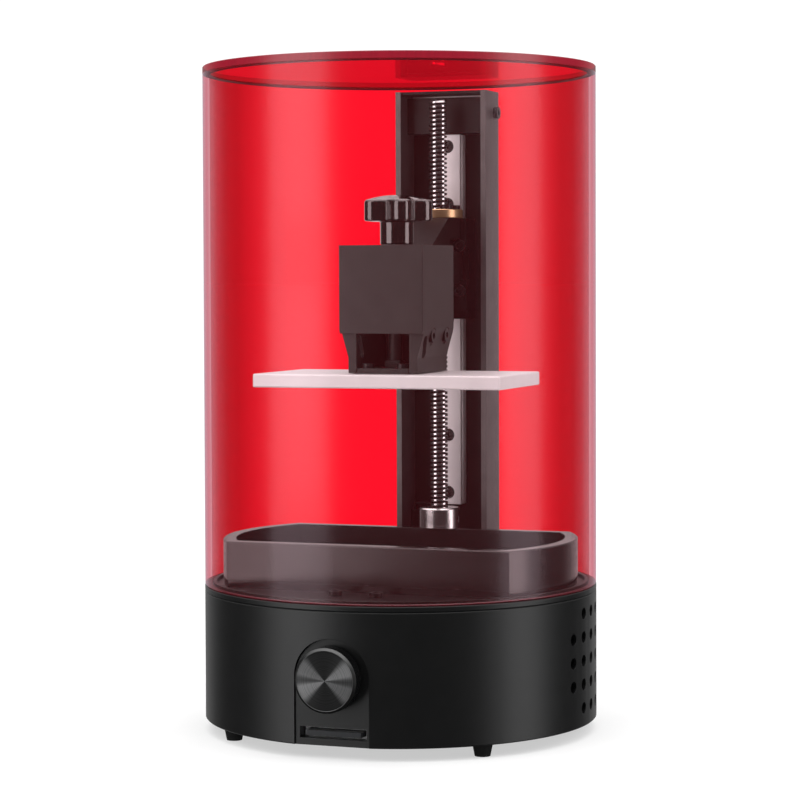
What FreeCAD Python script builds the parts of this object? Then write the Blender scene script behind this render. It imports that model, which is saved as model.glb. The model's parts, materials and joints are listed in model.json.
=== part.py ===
import FreeCAD, Part

import math
import os

from FreeCAD import Vector

# A desktop resin printer with a round body, in millimetres.
# +Z is up and -Y is the front.  The origin is on the cylinder's axis, where the feet stand.

# Base
FOOT_HEIGHT = 5.4
FOOT_TOP_RADIUS = 4.35
FOOT_TIP_RADIUS = 3.25
FOOT_CIRCLE_RADIUS = 78.0
BASE_RADIUS = 85.0
BASE_WALL = 3.0
BASE_HEIGHT = 57.6
DECK_THICKNESS = 2.5
EDGE_BREAK = 0.4
BASE_BOTTOM = FOOT_HEIGHT
DECK_TOP = BASE_BOTTOM + BASE_HEIGHT
DECK_BOTTOM = DECK_TOP - DECK_THICKNESS
SHELL_INSIDE = BASE_RADIUS - BASE_WALL
FLOOR_RADIUS = SHELL_INSIDE - 0.1
FLOOR_TOP = BASE_BOTTOM + 2.5
WINDOW_HALF_LENGTH = 52.0
WINDOW_HALF_DEPTH = 29.0
GRILLE_PITCH = 6.0
GRILLE_HALF_SLOT = 1.6
FRAME_POST_RADIUS = 4.0
FRAME_POST_CIRCLE = 74.0
FRAME_POST_DEGREES = (45, 135, 225, 315)
DECK_SCREWS = ((-9.0, -55.5), (9.0, -55.5))

# Cover
COVER_RADIUS = 84.9
COVER_WALL = 3.0
COVER_GAP = 0.2
COVER_TOP = 286.0
LEDGE_RADIUS = COVER_RADIUS - COVER_WALL - 0.5
LEDGE_WIDTH = 1.5
LEDGE_HEIGHT = 1.5

# Vent holes in the side wall, the same on the left and the right
VENT_RADIUS = 2.5
VENT_PITCH = 10.0
VENT_MIDDLE_HEIGHT = 33.4
VENT_STEP_DEG = 7.0
VENT_MIDDLE_DEG = 99.0
VENT_ROWS = (1, 2, 2, 2, 2, 2, 1)

# Front panel, control knob and its encoder
PANEL_HALF_WIDTH = 16.2
PANEL_FACE = -82.6
PANEL_THICKNESS = 3.0
FLANGE_HALF_WIDTH = 21.0
FLANGE_THICKNESS = 2.0
KNOB_HEIGHT = 33.1
KNOB_RADIUS = 13.3
KNOB_FRONT = -91.0
KNOB_BACK = -83.4
KNOB_CHAMFER = 1.0
SHAFT_RADIUS = 3.0
SHAFT_CLEARANCE = 0.06
ENCODER_HALF_WIDTH = 6.2
ENCODER_DEPTH = 8.0
PANEL_BACK = PANEL_FACE + PANEL_THICKNESS
FLANGE_BACK = PANEL_BACK + FLANGE_THICKNESS
BUSHING_RADIUS = 3.5
CHAMBER = (FLANGE_BACK + 2.0, FLANGE_BACK + 6.0)
CHAMBER_RADIUS = 4.3
KNOB_SKIN = 1.6

# Power inlet at the back
INLET_HEIGHT = 19.0
INLET_RADIUS = 5.4
INLET_HALF_WIDTH = 7.0
INLET_HALF_HEIGHT = 5.8
INLET_DEPTH = 13.0
SOCKET_RADIUS = 3.1
SOCKET_DEPTH = 8.0
PIN_RADIUS = 1.0

# Memory card and its socket
CARD_WIDTH = 24.0
CARD_LENGTH = 32.0
CARD_THICKNESS = 2.1
CARD_MIDDLE = 0.5
CARD_BOTTOM = 9.3
SLOT_WIDTH = 29.0
SLOT_BOTTOM = 8.2
SLOT_TOP = 12.9
CARD_CORNER = 4.0
CARD_GAP = 0.3
CARD_SOCKET_WALL = 2.2

# Main board
BOARD_BOTTOM = 12.8
BOARD_TOP = 14.4
BOARD_HALF_LENGTH = 36.0
BOARD_Y = (-70.0, -31.0)
STANDOFFS = ((-32.0, -35.0), (32.0, -35.0), (-30.0, -64.0), (30.0, -64.0))

# Screen, light engine and fan
SCREEN_MIDDLE = -2.0
SCREEN_LENGTH = 112.0
SCREEN_DEPTH = 62.0
SCREEN_TOP = DECK_TOP + 2.6
SCREEN_THICKNESS = 1.4
FRAME_HALF_LENGTH = 59.0
FRAME_HALF_DEPTH = 34.0
FUNNEL_WALL = 1.5
FUNNEL_COLLAR_TOP = 38.0
FUNNEL_LOW = (23.0, 23.0)
FUNNEL_HIGH = (53.0, 30.0)
LENS_BOTTOM = 36.5
LENS_RIM = (21.0, 1.5)
LENS_BULGE = (20.0, 5.0)
LIGHT_BOARD_HALF = 20.0
LIGHT_BOARD_THICKNESS = 1.6
LIGHT_PITCH = 7.0
LIGHT_HALF = 1.6
LIGHT_HEIGHT = 0.8
FAN_HALF_WIDTH = 25.0
FAN_BOTTOM = FLOOR_TOP + 0.2
FAN_HEIGHT = 10.0
FAN_BORE_RADIUS = 23.6
AXLE_RADIUS = 2.0
FAN_BLADES = 7
FAN_BLADE_TILT_DEG = 50
FAN_STRUT_HALF = 1.2
FAN_STRUT_HEIGHT = 1.8
FAN_HOLE_PITCH = 20.0
FIN_PITCH = 5.9
FIN_HALF = 0.8
SINK_BOTTOM = FAN_BOTTOM + FAN_HEIGHT + 0.2
SINK_TOP = 30.0

# Vat: a round block cut flat in front and behind
VAT_RADIUS = 77.0
VAT_FRONT = -44.0
VAT_BACK = 41.8
VAT_WALL = 5.5
VAT_RIM = 82.7
FILM_THICKNESS = 0.3
RING_HEIGHT = 3.0
FILM_BOTTOM = DECK_TOP + RING_HEIGHT
VAT_BOTTOM = FILM_BOTTOM + FILM_THICKNESS
FILM_SCREW_CIRCLE = 74.2
FILM_SCREW_DEGREES = (64, 90, 116, 244, 270, 296)
FILM_SCREW_X = (-40.0, 0.0, 40.0)
FILM_SCREW_RADIUS = 1.25
FILM_SCREW_HEAD = (2.0, 1.5)

# Z column, an upright U-channel that is open to the front
COLUMN_HALF_WIDTH = 21.6
COLUMN_FRONT = 55.0
COLUMN_BACK = 75.3
COLUMN_WALL = 2.5
COLUMN_TOP = 279.7
CHANNEL_BACK = COLUMN_BACK - COLUMN_WALL
CHANNEL_HALF_WIDTH = COLUMN_HALF_WIDTH - COLUMN_WALL
COLUMN_CORNER = 1.5
INSERT_HALF_WIDTH = CHANNEL_HALF_WIDTH - 0.1
TOP_BLOCK_FRONT = 64.0
TOP_BLOCK_BOTTOM = 260.9
TOP_SCREW = (68.4, 270.0)
LOW_SCREW = (63.5, 73.0)
BRACKET_WIDTH = 12.0
BRACKET_HEIGHT = 16.0
BRACKET_Y = (58.0, 69.0)
BRACKET_THICKNESS = 2.5

# Linear rail
RAIL_HALF_WIDTH = 6.0
RAIL_HEIGHT = 8.0
RAIL_BOTTOM = 91.1
RAIL_TOP = 260.4
RAIL_HOLES = 7
RAIL_END = 5.4
RAIL_FACE = CHANNEL_BACK - RAIL_HEIGHT
RAIL_GROOVE = (1.0, RAIL_FACE + 2.9)
RAIL_SEAT = RAIL_FACE + 4.5

# Lead screw, coupler and motor
SCREW_Y = 52.0
SCREW_RADIUS = 4.0
SCREW_BOTTOM = 79.0
SCREW_TOP = 275.7
COUPLER_RADIUS = 9.2
COUPLER_BOTTOM = 65.8
COUPLER_TOP = 90.8
COUPLER_SCREW_HEIGHTS = (COUPLER_BOTTOM + 5.0, COUPLER_TOP - 5.0)
COUPLER_SCREW_RADIUS = 1.5
MOTOR_HALF_WIDTH = 17.6
MOTOR_BOTTOM = 34.5
MOTOR_SCREW_SPACING = 26.0
MOTOR_SHAFT_RADIUS = 2.5
SHAFT_BOTTOM = 45.0
MOTOR_FLANGE = 6.0
MOTOR_CORNER = 3.0
PILOT_RADIUS = 11.0

# Carriage and arm
CARRIAGE_HALF_WIDTH = 12.0
CARRIAGE_FACE = 59.8
CARRIAGE_BOTTOM = 176.3
CARRIAGE_TOP = 221.7
CARRIAGE_CAP = 10.0
ARM_FLANGE_FRONT = 55.8
ARM_FLANGE_BOTTOM = 180.0
ARM_TOP = 222.0
ARM_HALF_WIDTH = 9.0
ARM_BOTTOM = 189.8
LUG_SCREW_X = 8.8
LUG_SCREW_OFFSET = 10.2
LUG_MIDDLE = 199.4
ARM_NOTCH = (LUG_MIDDLE - 5.1, LUG_MIDDLE + 8.7)
ARM_SLOPE_END = 40.0
NUT_FLANGE_RADIUS = 11.0
NUT_FLANGE_HEIGHT = 3.9
NUT_BARREL_RADIUS = 5.1
NUT_BARREL_LENGTH = 16.0
NUT_SCREW_CIRCLE = 8.0

# Platform
HOUSING_HALF_WIDTH = 19.0
HOUSING_FRONT = -24.2
HOUSING_BACK = 17.0
HOUSING_TOP = 209.1
HOUSING_BOTTOM = 171.4
SKIRT_SHOULDER = 173.1
SKIRT_FOOT = 161.0
SKIRT_OUTSIDE = 15.6
SKIRT_INSIDE = 12.0
SKIRT_FRONT = -21.8
TONGUE_FRONT = -14.0
TONGUE_TOP = 206.0
TONGUE_BOTTOM = 190.0
PLATE_LENGTH = 111.5
PLATE_DEPTH = 57.4
PLATE_THICKNESS = 5.8
PLATE_MIDDLE = -3.8
PLATE_BOTTOM = 148.3
PLATE_TOP = PLATE_BOTTOM + PLATE_THICKNESS
SIDE_BOLT_HEIGHT = 170.2
SIDE_BOLT_PLACES = (-9.4, 8.2)
SIDE_BOLT_SINK = 2.1
BACK_WALL = 2.5
LEVEL_SLOT_HIGH = (-17.4, 168.6)
LEVEL_SLOT_LOW = (-14.4, 162.6)
LEVEL_SLOT_WIDTH = 4.0
LEVEL_POST_Y = -6.0
LEVEL_POST_RADIUS = 3.05
LEVEL_FOOT_HALF = 3.4
LEVEL_FOOT_HEIGHT = 3.0
PAD_TOP = PLATE_TOP + 2.4
PAD_Y = (-21.5, 14.4)
PLATE_SCREWS = ((-7.9, -18.0), (7.9, -18.0), (-7.9, 10.0), (7.9, 10.0))

# Clamp knob
CLAMP_Y = -3.0
CLAMP_BOTTOM = 219.6
CLAMP_TOP = 230.9
CLAMP_LOBES = 5
CLAMP_FIRST_LOBE_DEG = 29.0
CLAMP_OUTER_RADIUS = 15.5
CLAMP_LOBE_RADIUS = 4.6
CLAMP_CORE_RADIUS = 10.2
CLAMP_STEM_RADIUS = 7.4
CLAMP_CROWN = 2.0
STUD_RADIUS = 3.0

# M3 screws
M3_RADIUS = 1.5
M3_HOLE_RADIUS = 1.6
M3_HEAD_RADIUS = 2.7
M3_HEAD_HEIGHT = 2.0
HEX_RADIUS = 1.4
HEX_DEPTH = 1.2

OVERCUT = 1.0
X_AXIS = Vector(1, 0, 0)
Y_AXIS = Vector(0, 1, 0)
Z_AXIS = Vector(0, 0, 1)


def block(x, y, z):
    """A box from (low, high) pairs."""
    return Part.makeBox(x[1] - x[0], y[1] - y[0], z[1] - z[0], Vector(x[0], y[0], z[0]))


def post(radius, z, centre=(0.0, 0.0)):
    """An upright cylinder."""
    return Part.makeCylinder(radius, z[1] - z[0], Vector(centre[0], centre[1], z[0]))


def rod_x(radius, x, y, z):
    """A cylinder along X."""
    return Part.makeCylinder(radius, x[1] - x[0], Vector(x[0], y, z), X_AXIS)


def rod_y(radius, y, x, z):
    """A cylinder along Y."""
    return Part.makeCylinder(radius, y[1] - y[0], Vector(x, y[0], z), Y_AXIS)


def tube(outer, inner, z, centre=(0.0, 0.0)):
    """An upright ring or pipe."""
    bore = post(inner, (z[0] - OVERCUT, z[1] + OVERCUT), centre)
    return post(outer, z, centre).cut(bore)


def prism(points, direction):
    """A polygon pushed along a vector."""
    return Part.Face(Part.makePolygon(points + [points[0]])).extrude(direction)


def join(shapes):
    """One solid from touching shapes."""
    whole = shapes[0].fuse(list(shapes[1:])) if len(shapes) > 1 else shapes[0]
    return whole.removeSplitter()


def cut_all(shape, tools):
    """A shape with every tool taken away."""
    return shape.cut(list(tools))


def edges_at(shape, test):
    """The edges whose bounding box passes a test."""
    return [edge for edge in shape.Edges if test(edge.BoundBox)]


def on_circle(radius, degrees, centre=(0.0, 0.0)):
    """A point on a circle, counted from the front towards the right."""
    angle = math.radians(degrees)
    return (centre[0] + radius * math.sin(angle), centre[1] - radius * math.cos(angle))


def flattened_disc(inset, z):
    """The vat's outline, a disc cut flat in front and behind, drawn in by an inset."""
    radius = VAT_RADIUS - inset
    slab = block((-radius, radius), (VAT_FRONT + inset, VAT_BACK - inset), z)
    return post(radius, z).common(slab)


def tongue(half_width, y, bottom):
    """An upright plate with a round top that is concentric with the control knob."""
    plate = block((-half_width, half_width), y, (bottom, KNOB_HEIGHT))
    return join([plate, rod_y(half_width, y, 0.0, KNOB_HEIGHT)])


def cap_screw_z(x, y, seat, length, head=M3_HEAD_RADIUS, shank=M3_RADIUS):
    """A socket-head screw that points down from its seat."""
    screw = join([post(head, (seat, seat + M3_HEAD_HEIGHT), (x, y)),
                  post(shank, (seat - length, seat), (x, y))])
    top = seat + M3_HEAD_HEIGHT
    return screw.cut(post(HEX_RADIUS, (top - HEX_DEPTH, top + OVERCUT), (x, y)))


def cap_screw_x(side, y, z, seat, length, head=M3_HEAD_RADIUS, shank=M3_RADIUS):
    """A socket-head screw that points inwards from a seat at +X or -X."""
    outside = seat + M3_HEAD_HEIGHT
    screw = join([rod_x(head, (seat, outside), y, z), rod_x(shank, (seat - length, seat), y, z)])
    screw = screw.cut(rod_x(HEX_RADIUS, (outside - HEX_DEPTH, outside + OVERCUT), y, z))
    return screw if side > 0 else screw.mirror(Vector(0, 0, 0), X_AXIS)


def cap_screw_y(x, z, seat, length, head=M3_HEAD_RADIUS, shank=M3_RADIUS):
    """A socket-head screw that points to the back from its seat."""
    outside = seat - M3_HEAD_HEIGHT
    screw = join([rod_y(head, (outside, seat), x, z), rod_y(shank, (seat, seat + length), x, z)])
    return screw.cut(rod_y(HEX_RADIUS, (outside - OVERCUT, outside + HEX_DEPTH), x, z))


def countersunk(x, y, top, length, spread=0.0):
    """A flush screw that points down, or its hole when spread is over zero."""
    head = 2.9
    depth = head - M3_RADIUS
    cone = Part.makeCone(M3_RADIUS + spread, head + spread, depth, Vector(x, y, top - depth))
    return join([cone, post(M3_RADIUS + spread, (top - length, top - depth), (x, y))])


def save(name, shapes):
    """Write one node: a single solid, or a group of alike solids."""
    shape = shapes[0] if len(shapes) == 1 else Part.makeCompound(shapes)
    shape.exportStep("parts/%s.step" % name)


# ---------------------------------------------------------------- base

def post_places():
    return [on_circle(FRAME_POST_CIRCLE, degrees) for degrees in FRAME_POST_DEGREES]


def bracket_screw_places():
    middle = (BRACKET_Y[0] + BRACKET_Y[1]) / 2
    reach = COLUMN_HALF_WIDTH + BRACKET_THICKNESS + 5.0
    return [(-reach, middle), (reach, middle)]


def motor_screw_places():
    half = MOTOR_SCREW_SPACING / 2
    return [(x, SCREW_Y + y) for x in (-half, half) for y in (-half, half)]


def vent_holes():
    holes = []
    first = VENT_MIDDLE_DEG - VENT_STEP_DEG * (len(VENT_ROWS) - 1) / 2
    for column, reach in enumerate(VENT_ROWS):
        degrees = first + VENT_STEP_DEG * column
        for row in range(-reach, reach + 1):
            height = VENT_MIDDLE_HEIGHT + VENT_PITCH * row
            for side in (-1, 1):
                x, y = on_circle(1.0, side * degrees)
                start = Vector(x, y, 0) * (SHELL_INSIDE - 3 * OVERCUT) + Vector(0, 0, height)
                holes.append(Part.makeCylinder(VENT_RADIUS, 10.0, start, Vector(x, y, 0)))
    return holes


def base_shell():
    shell = tube(BASE_RADIUS, SHELL_INSIDE, (BASE_BOTTOM, DECK_BOTTOM))
    rims = edges_at(shell, lambda box: box.ZLength < 0.01 and box.XLength > 2 * BASE_RADIUS - 0.1)
    shell = shell.makeChamfer(EDGE_BREAK, rims)
    front = (-BASE_RADIUS - OVERCUT, -SHELL_INSIDE + 8.0)
    opening = tongue(PANEL_HALF_WIDTH, front, BASE_BOTTOM - OVERCUT)
    back = (SHELL_INSIDE - 2.0, BASE_RADIUS + OVERCUT)
    inlet = rod_y(INLET_RADIUS + 0.1, back, 0.0, INLET_HEIGHT)
    return cut_all(shell, [opening, inlet] + vent_holes())


def base_top_plate():
    plate = post(BASE_RADIUS, (DECK_BOTTOM, DECK_TOP))
    rims = edges_at(plate, lambda box: box.ZLength < 0.01)
    plate = plate.makeChamfer(EDGE_BREAK, rims)
    ledge = tube(LEDGE_RADIUS, LEDGE_RADIUS - LEDGE_WIDTH, (DECK_TOP, DECK_TOP + LEDGE_HEIGHT))
    plate = join([plate, ledge])
    through = (DECK_BOTTOM - OVERCUT, DECK_TOP + OVERCUT)
    window_y = (SCREEN_MIDDLE - WINDOW_HALF_DEPTH, SCREEN_MIDDLE + WINDOW_HALF_DEPTH)
    window = block((-WINDOW_HALF_LENGTH, WINDOW_HALF_LENGTH), window_y, through)
    tools = [window, post(PILOT_RADIUS + 0.1, through, (0.0, SCREW_Y))]
    tools += [countersunk(x, y, DECK_TOP, 5.0, 0.1) for x, y in motor_screw_places()]
    tools += [countersunk(x, y, DECK_TOP, 5.0, 0.1) for x, y in post_places()]
    tools += [post(M3_HOLE_RADIUS, through, place) for place in DECK_SCREWS]
    tools += [post(M3_HOLE_RADIUS, through, place) for place in bracket_screw_places()]
    return cut_all(plate, tools)


def base_bottom_plate():
    plate = post(FLOOR_RADIUS, (BASE_BOTTOM, FLOOR_TOP))
    through = (BASE_BOTTOM - OVERCUT, FLOOR_TOP + OVERCUT)
    notch = FLANGE_HALF_WIDTH + 0.3
    tools = [block((-notch, notch), (-BASE_RADIUS, FLANGE_BACK + 0.2), through)]
    for row in range(-3, 4):
        x = GRILLE_PITCH * row
        reach = math.sqrt(FAN_BORE_RADIUS ** 2 - x ** 2) - 3.0
        slot_x = (x - GRILLE_HALF_SLOT, x + GRILLE_HALF_SLOT)
        tools.append(block(slot_x, (SCREEN_MIDDLE - reach, SCREEN_MIDDLE + reach), through))
    tools += [post(M3_HOLE_RADIUS, through, place) for place in post_places()]
    return cut_all(plate, tools)


def frame_posts():
    posts = []
    for place in post_places():
        pillar = post(FRAME_POST_RADIUS, (FLOOR_TOP, DECK_BOTTOM), place)
        posts.append(pillar.cut(post(M3_RADIUS + 0.05, (FLOOR_TOP - OVERCUT, DECK_TOP), place)))
    return posts


def frame_screws():
    screws = []
    for x, y in post_places():
        screws.append(countersunk(x, y, DECK_TOP, 14.0))
        low = cap_screw_z(x, y, 0.0, 12.0).mirror(Vector(0, 0, 0), Z_AXIS)
        low.translate(Vector(0, 0, BASE_BOTTOM))
        screws.append(low)
    screws += [cap_screw_z(x, y, DECK_TOP, 5.0) for x, y in DECK_SCREWS]
    return screws


def feet():
    feet_list = []
    for degrees in FRAME_POST_DEGREES:
        x, y = on_circle(FOOT_CIRCLE_RADIUS, degrees)
        cone = Part.makeCone(FOOT_TIP_RADIUS, FOOT_TOP_RADIUS, FOOT_HEIGHT, Vector(x, y, 0))
        screw_room = post(M3_HEAD_RADIUS + 0.3, (FOOT_HEIGHT - 3.0, FOOT_HEIGHT + OVERCUT),
                          on_circle(FRAME_POST_CIRCLE, degrees))
        feet_list.append(cone.cut(screw_room))
    return feet_list


def card_slot(y):
    middle = CARD_MIDDLE
    half = SLOT_WIDTH / 2
    return block((middle - half, middle + half), y, (SLOT_BOTTOM, SLOT_TOP))


def front_panel():
    gap = 0.1
    face = tongue(PANEL_HALF_WIDTH - gap, (PANEL_FACE, PANEL_BACK), BASE_BOTTOM)
    flange = tongue(FLANGE_HALF_WIDTH, (PANEL_BACK - 2.0, FLANGE_BACK), BASE_BOTTOM)
    inside = post(FLOOR_RADIUS, (0.0, DECK_TOP))
    flange = flange.common(inside)
    panel = join([face, flange])
    whole_depth = (PANEL_FACE - OVERCUT, FLANGE_BACK + OVERCUT)
    return cut_all(panel, [rod_y(BUSHING_RADIUS + 0.1, whole_depth, 0.0, KNOB_HEIGHT),
                           card_slot(whole_depth)])


def control_knob():
    knob = rod_y(KNOB_RADIUS, (KNOB_FRONT, KNOB_BACK), 0.0, KNOB_HEIGHT)
    front = edges_at(knob, lambda box: box.YMax < KNOB_FRONT + 0.1)
    knob = knob.makeChamfer(KNOB_CHAMFER, front)
    bore = rod_y(SHAFT_RADIUS, (KNOB_FRONT + KNOB_SKIN, KNOB_BACK + OVERCUT), 0.0, KNOB_HEIGHT)
    return knob.cut(bore)


def encoder_body():
    half = ENCODER_HALF_WIDTH
    back = FLANGE_BACK + ENCODER_DEPTH
    half_height = half + 0.4
    case = block((-half, half), (FLANGE_BACK, back), (KNOB_HEIGHT - half_height, KNOB_HEIGHT + half_height))
    bushing = rod_y(BUSHING_RADIUS, (PANEL_FACE + 0.6, FLANGE_BACK), 0.0, KNOB_HEIGHT)
    bore = rod_y(SHAFT_RADIUS + SHAFT_CLEARANCE, (PANEL_FACE, CHAMBER[0]), 0.0, KNOB_HEIGHT)
    chamber = rod_y(CHAMBER_RADIUS, CHAMBER, 0.0, KNOB_HEIGHT)
    return cut_all(join([case, bushing]), [bore, chamber])


def knob_shaft():
    return rod_y(SHAFT_RADIUS, (KNOB_FRONT + KNOB_SKIN, CHAMBER[0] + 0.5), 0.0, KNOB_HEIGHT)


def encoder_plunger():
    depth = (CHAMBER[0] + 0.8, CHAMBER[0] + 2.3)
    return rod_y(CHAMBER_RADIUS - 0.3, depth, 0.0, KNOB_HEIGHT)


def sd_card():
    half = CARD_WIDTH / 2
    front = PANEL_FACE + 0.2
    back = front + CARD_LENGTH
    left = CARD_MIDDLE - half
    right = CARD_MIDDLE + half
    low = CARD_BOTTOM
    outline = [Vector(left, front, low), Vector(right, front, low),
               Vector(right, back - CARD_CORNER, low), Vector(right - CARD_CORNER, back, low),
               Vector(left, back, low)]
    return prism(outline, Vector(0, 0, CARD_THICKNESS))


def sd_socket():
    inner = CARD_WIDTH / 2 + CARD_GAP
    outer = CARD_WIDTH / 2 + CARD_SOCKET_WALL
    front = FLANGE_BACK + 0.2
    back = PANEL_FACE + CARD_LENGTH + 0.5
    low = CARD_BOTTOM - CARD_GAP
    high = CARD_BOTTOM + CARD_THICKNESS + CARD_GAP
    case = block((CARD_MIDDLE - outer, CARD_MIDDLE + outer), (front, back + CARD_SOCKET_WALL),
                 (low - 1.0, high + 1.0))
    inside = block((CARD_MIDDLE - inner, CARD_MIDDLE + inner), (front - OVERCUT, back), (low, high))
    return case.cut(inside)


def mainboard():
    board = block((-BOARD_HALF_LENGTH, BOARD_HALF_LENGTH), BOARD_Y, (BOARD_BOTTOM, BOARD_TOP))
    chips = [block((-8.0, 6.0), (-56.0, -42.0), (BOARD_TOP, BOARD_TOP + 1.6)),
             block((12.0, 22.0), (-50.0, -42.0), (BOARD_TOP, BOARD_TOP + 5.0))]
    for place in range(4):
        x = -28.0 + 9.0 * place
        chips.append(block((x, x + 7.0), (-38.0, -33.0), (BOARD_TOP, BOARD_TOP + 7.0)))
    chips += [post(4.0, (BOARD_TOP, BOARD_TOP + 9.0), (-24.0, y)) for y in (-62.0, -50.0)]
    board = join([board] + chips)
    holes = [post(M3_HOLE_RADIUS, (0.0, BOARD_TOP + OVERCUT), place) for place in STANDOFFS]
    return cut_all(board, holes)


def board_standoffs():
    parts = []
    for place in STANDOFFS:
        parts.append(tube(3.0, 1.4, (FLOOR_TOP, BOARD_BOTTOM), place))
    return parts


def dc_inlet():
    shoulder = SHELL_INSIDE - 0.6
    hollow = SHELL_INSIDE - SOCKET_DEPTH
    case = block((-INLET_HALF_WIDTH, INLET_HALF_WIDTH), (SHELL_INSIDE - INLET_DEPTH, shoulder),
                 (INLET_HEIGHT - INLET_HALF_HEIGHT, INLET_HEIGHT + INLET_HALF_HEIGHT))
    collar = rod_y(INLET_RADIUS, (shoulder, BASE_RADIUS - 0.2), 0.0, INLET_HEIGHT)
    socket = rod_y(SOCKET_RADIUS, (hollow, BASE_RADIUS + OVERCUT), 0.0, INLET_HEIGHT)
    pin = rod_y(PIN_RADIUS, (hollow, BASE_RADIUS - 1.5), 0.0, INLET_HEIGHT)
    return join([join([case, collar]).cut(socket), pin])


# ---------------------------------------------------------------- light engine

def lcd_frame():
    y = (SCREEN_MIDDLE - FRAME_HALF_DEPTH, SCREEN_MIDDLE + FRAME_HALF_DEPTH)
    frame = block((-FRAME_HALF_LENGTH, FRAME_HALF_LENGTH), y, (DECK_TOP, SCREEN_TOP))
    pocket = screen_block(0.1, (SCREEN_TOP - SCREEN_THICKNESS, SCREEN_TOP + OVERCUT))
    half_x = WINDOW_HALF_LENGTH - 2.0
    half_y = WINDOW_HALF_DEPTH - 1.0
    window = block((-half_x, half_x), (SCREEN_MIDDLE - half_y, SCREEN_MIDDLE + half_y),
                   (DECK_BOTTOM, SCREEN_TOP))
    return cut_all(frame, [pocket, window])


def screen_block(spread, z):
    half_length = SCREEN_LENGTH / 2 + spread
    half_depth = SCREEN_DEPTH / 2 + spread
    y = (SCREEN_MIDDLE - half_depth, SCREEN_MIDDLE + half_depth)
    return block((-half_length, half_length), y, z)


def lcd_panel():
    return screen_block(0.0, (SCREEN_TOP - SCREEN_THICKNESS, SCREEN_TOP))


def rectangle(half, inset, z):
    half_x = half[0] - inset
    half_y = half[1] - inset
    corners = [Vector(sx * half_x, SCREEN_MIDDLE + sy * half_y, z)
               for sx, sy in ((-1, -1), (1, -1), (1, 1), (-1, 1))]
    return Part.makePolygon(corners + [corners[0]])


def light_funnel():
    solids = []
    for inset in (0.0, FUNNEL_WALL):
        low = rectangle(FUNNEL_LOW, inset, SINK_TOP + 1.8)
        bend = rectangle(FUNNEL_LOW, inset, FUNNEL_COLLAR_TOP)
        high = rectangle(FUNNEL_HIGH, inset, DECK_BOTTOM - 0.1)
        collar = Part.makeLoft([low, bend], True, True)
        flare = Part.makeLoft([bend, high], True, True)
        solids.append(join([collar, flare]))
    return solids[0].cut(solids[1])


def uv_lens():
    middle = (0.0, SCREEN_MIDDLE)
    rim_radius, rim_height = LENS_RIM
    reach, bulge = LENS_BULGE
    rim_top = LENS_BOTTOM + rim_height
    rim = post(rim_radius, (LENS_BOTTOM, rim_top), middle)
    ball_radius = (reach ** 2 + bulge ** 2) / (2 * bulge)
    ball = Part.makeSphere(ball_radius, Vector(0, SCREEN_MIDDLE, rim_top + bulge - ball_radius))
    cap = ball.common(post(reach, (LENS_BOTTOM + 1.0, rim_top + 2 * bulge), middle))
    return join([rim, cap])


def uv_led_board():
    half = LIGHT_BOARD_HALF
    high = SINK_TOP + LIGHT_BOARD_THICKNESS
    board = block((-half, half), (SCREEN_MIDDLE - half, SCREEN_MIDDLE + half), (SINK_TOP, high))
    chips = []
    for column in range(-2, 3):
        for row in range(-2, 3):
            x = LIGHT_PITCH * column
            y = SCREEN_MIDDLE + LIGHT_PITCH * row
            chip_x = (x - LIGHT_HALF, x + LIGHT_HALF)
            chip_y = (y - LIGHT_HALF, y + LIGHT_HALF)
            chips.append(block(chip_x, chip_y, (high, high + LIGHT_HEIGHT)))
    return join([board] + chips)


def heat_sink():
    y = (SCREEN_MIDDLE - FAN_HALF_WIDTH, SCREEN_MIDDLE + FAN_HALF_WIDTH)
    fin_top = SINK_TOP - 3.0
    parts = [block((-FAN_HALF_WIDTH, FAN_HALF_WIDTH), y, (fin_top, SINK_TOP))]
    for fin in range(-4, 5):
        x = FIN_PITCH * fin
        parts.append(block((x - FIN_HALF, x + FIN_HALF), y, (SINK_BOTTOM, fin_top)))
    return join(parts)


def fan_frame():
    half = FAN_HALF_WIDTH
    z = (FAN_BOTTOM, FAN_BOTTOM + FAN_HEIGHT)
    middle = (0.0, SCREEN_MIDDLE)
    frame = block((-half, half), (SCREEN_MIDDLE - half, SCREEN_MIDDLE + half), z)
    frame = frame.cut(post(FAN_BORE_RADIUS, (z[0] - OVERCUT, z[1] + OVERCUT), middle))
    strut_z = (z[0], z[0] + FAN_STRUT_HEIGHT)
    reach = FAN_BORE_RADIUS + 1.0
    thin = FAN_STRUT_HALF
    struts = [block((-reach, reach), (SCREEN_MIDDLE - thin, SCREEN_MIDDLE + thin), strut_z),
              block((-thin, thin), (SCREEN_MIDDLE - reach, SCREEN_MIDDLE + reach), strut_z)]
    hub = post(9.5, strut_z, middle)
    axle = post(AXLE_RADIUS, (strut_z[1] - 0.5, z[0] + 6.5), middle)
    frame = join([frame, hub, axle] + struts)
    pitch = FAN_HOLE_PITCH
    corners = [(sx * pitch, SCREEN_MIDDLE + sy * pitch) for sx in (-1, 1) for sy in (-1, 1)]
    return cut_all(frame, [post(2.1, (z[0] - OVERCUT, z[1] + OVERCUT), place) for place in corners])


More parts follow.
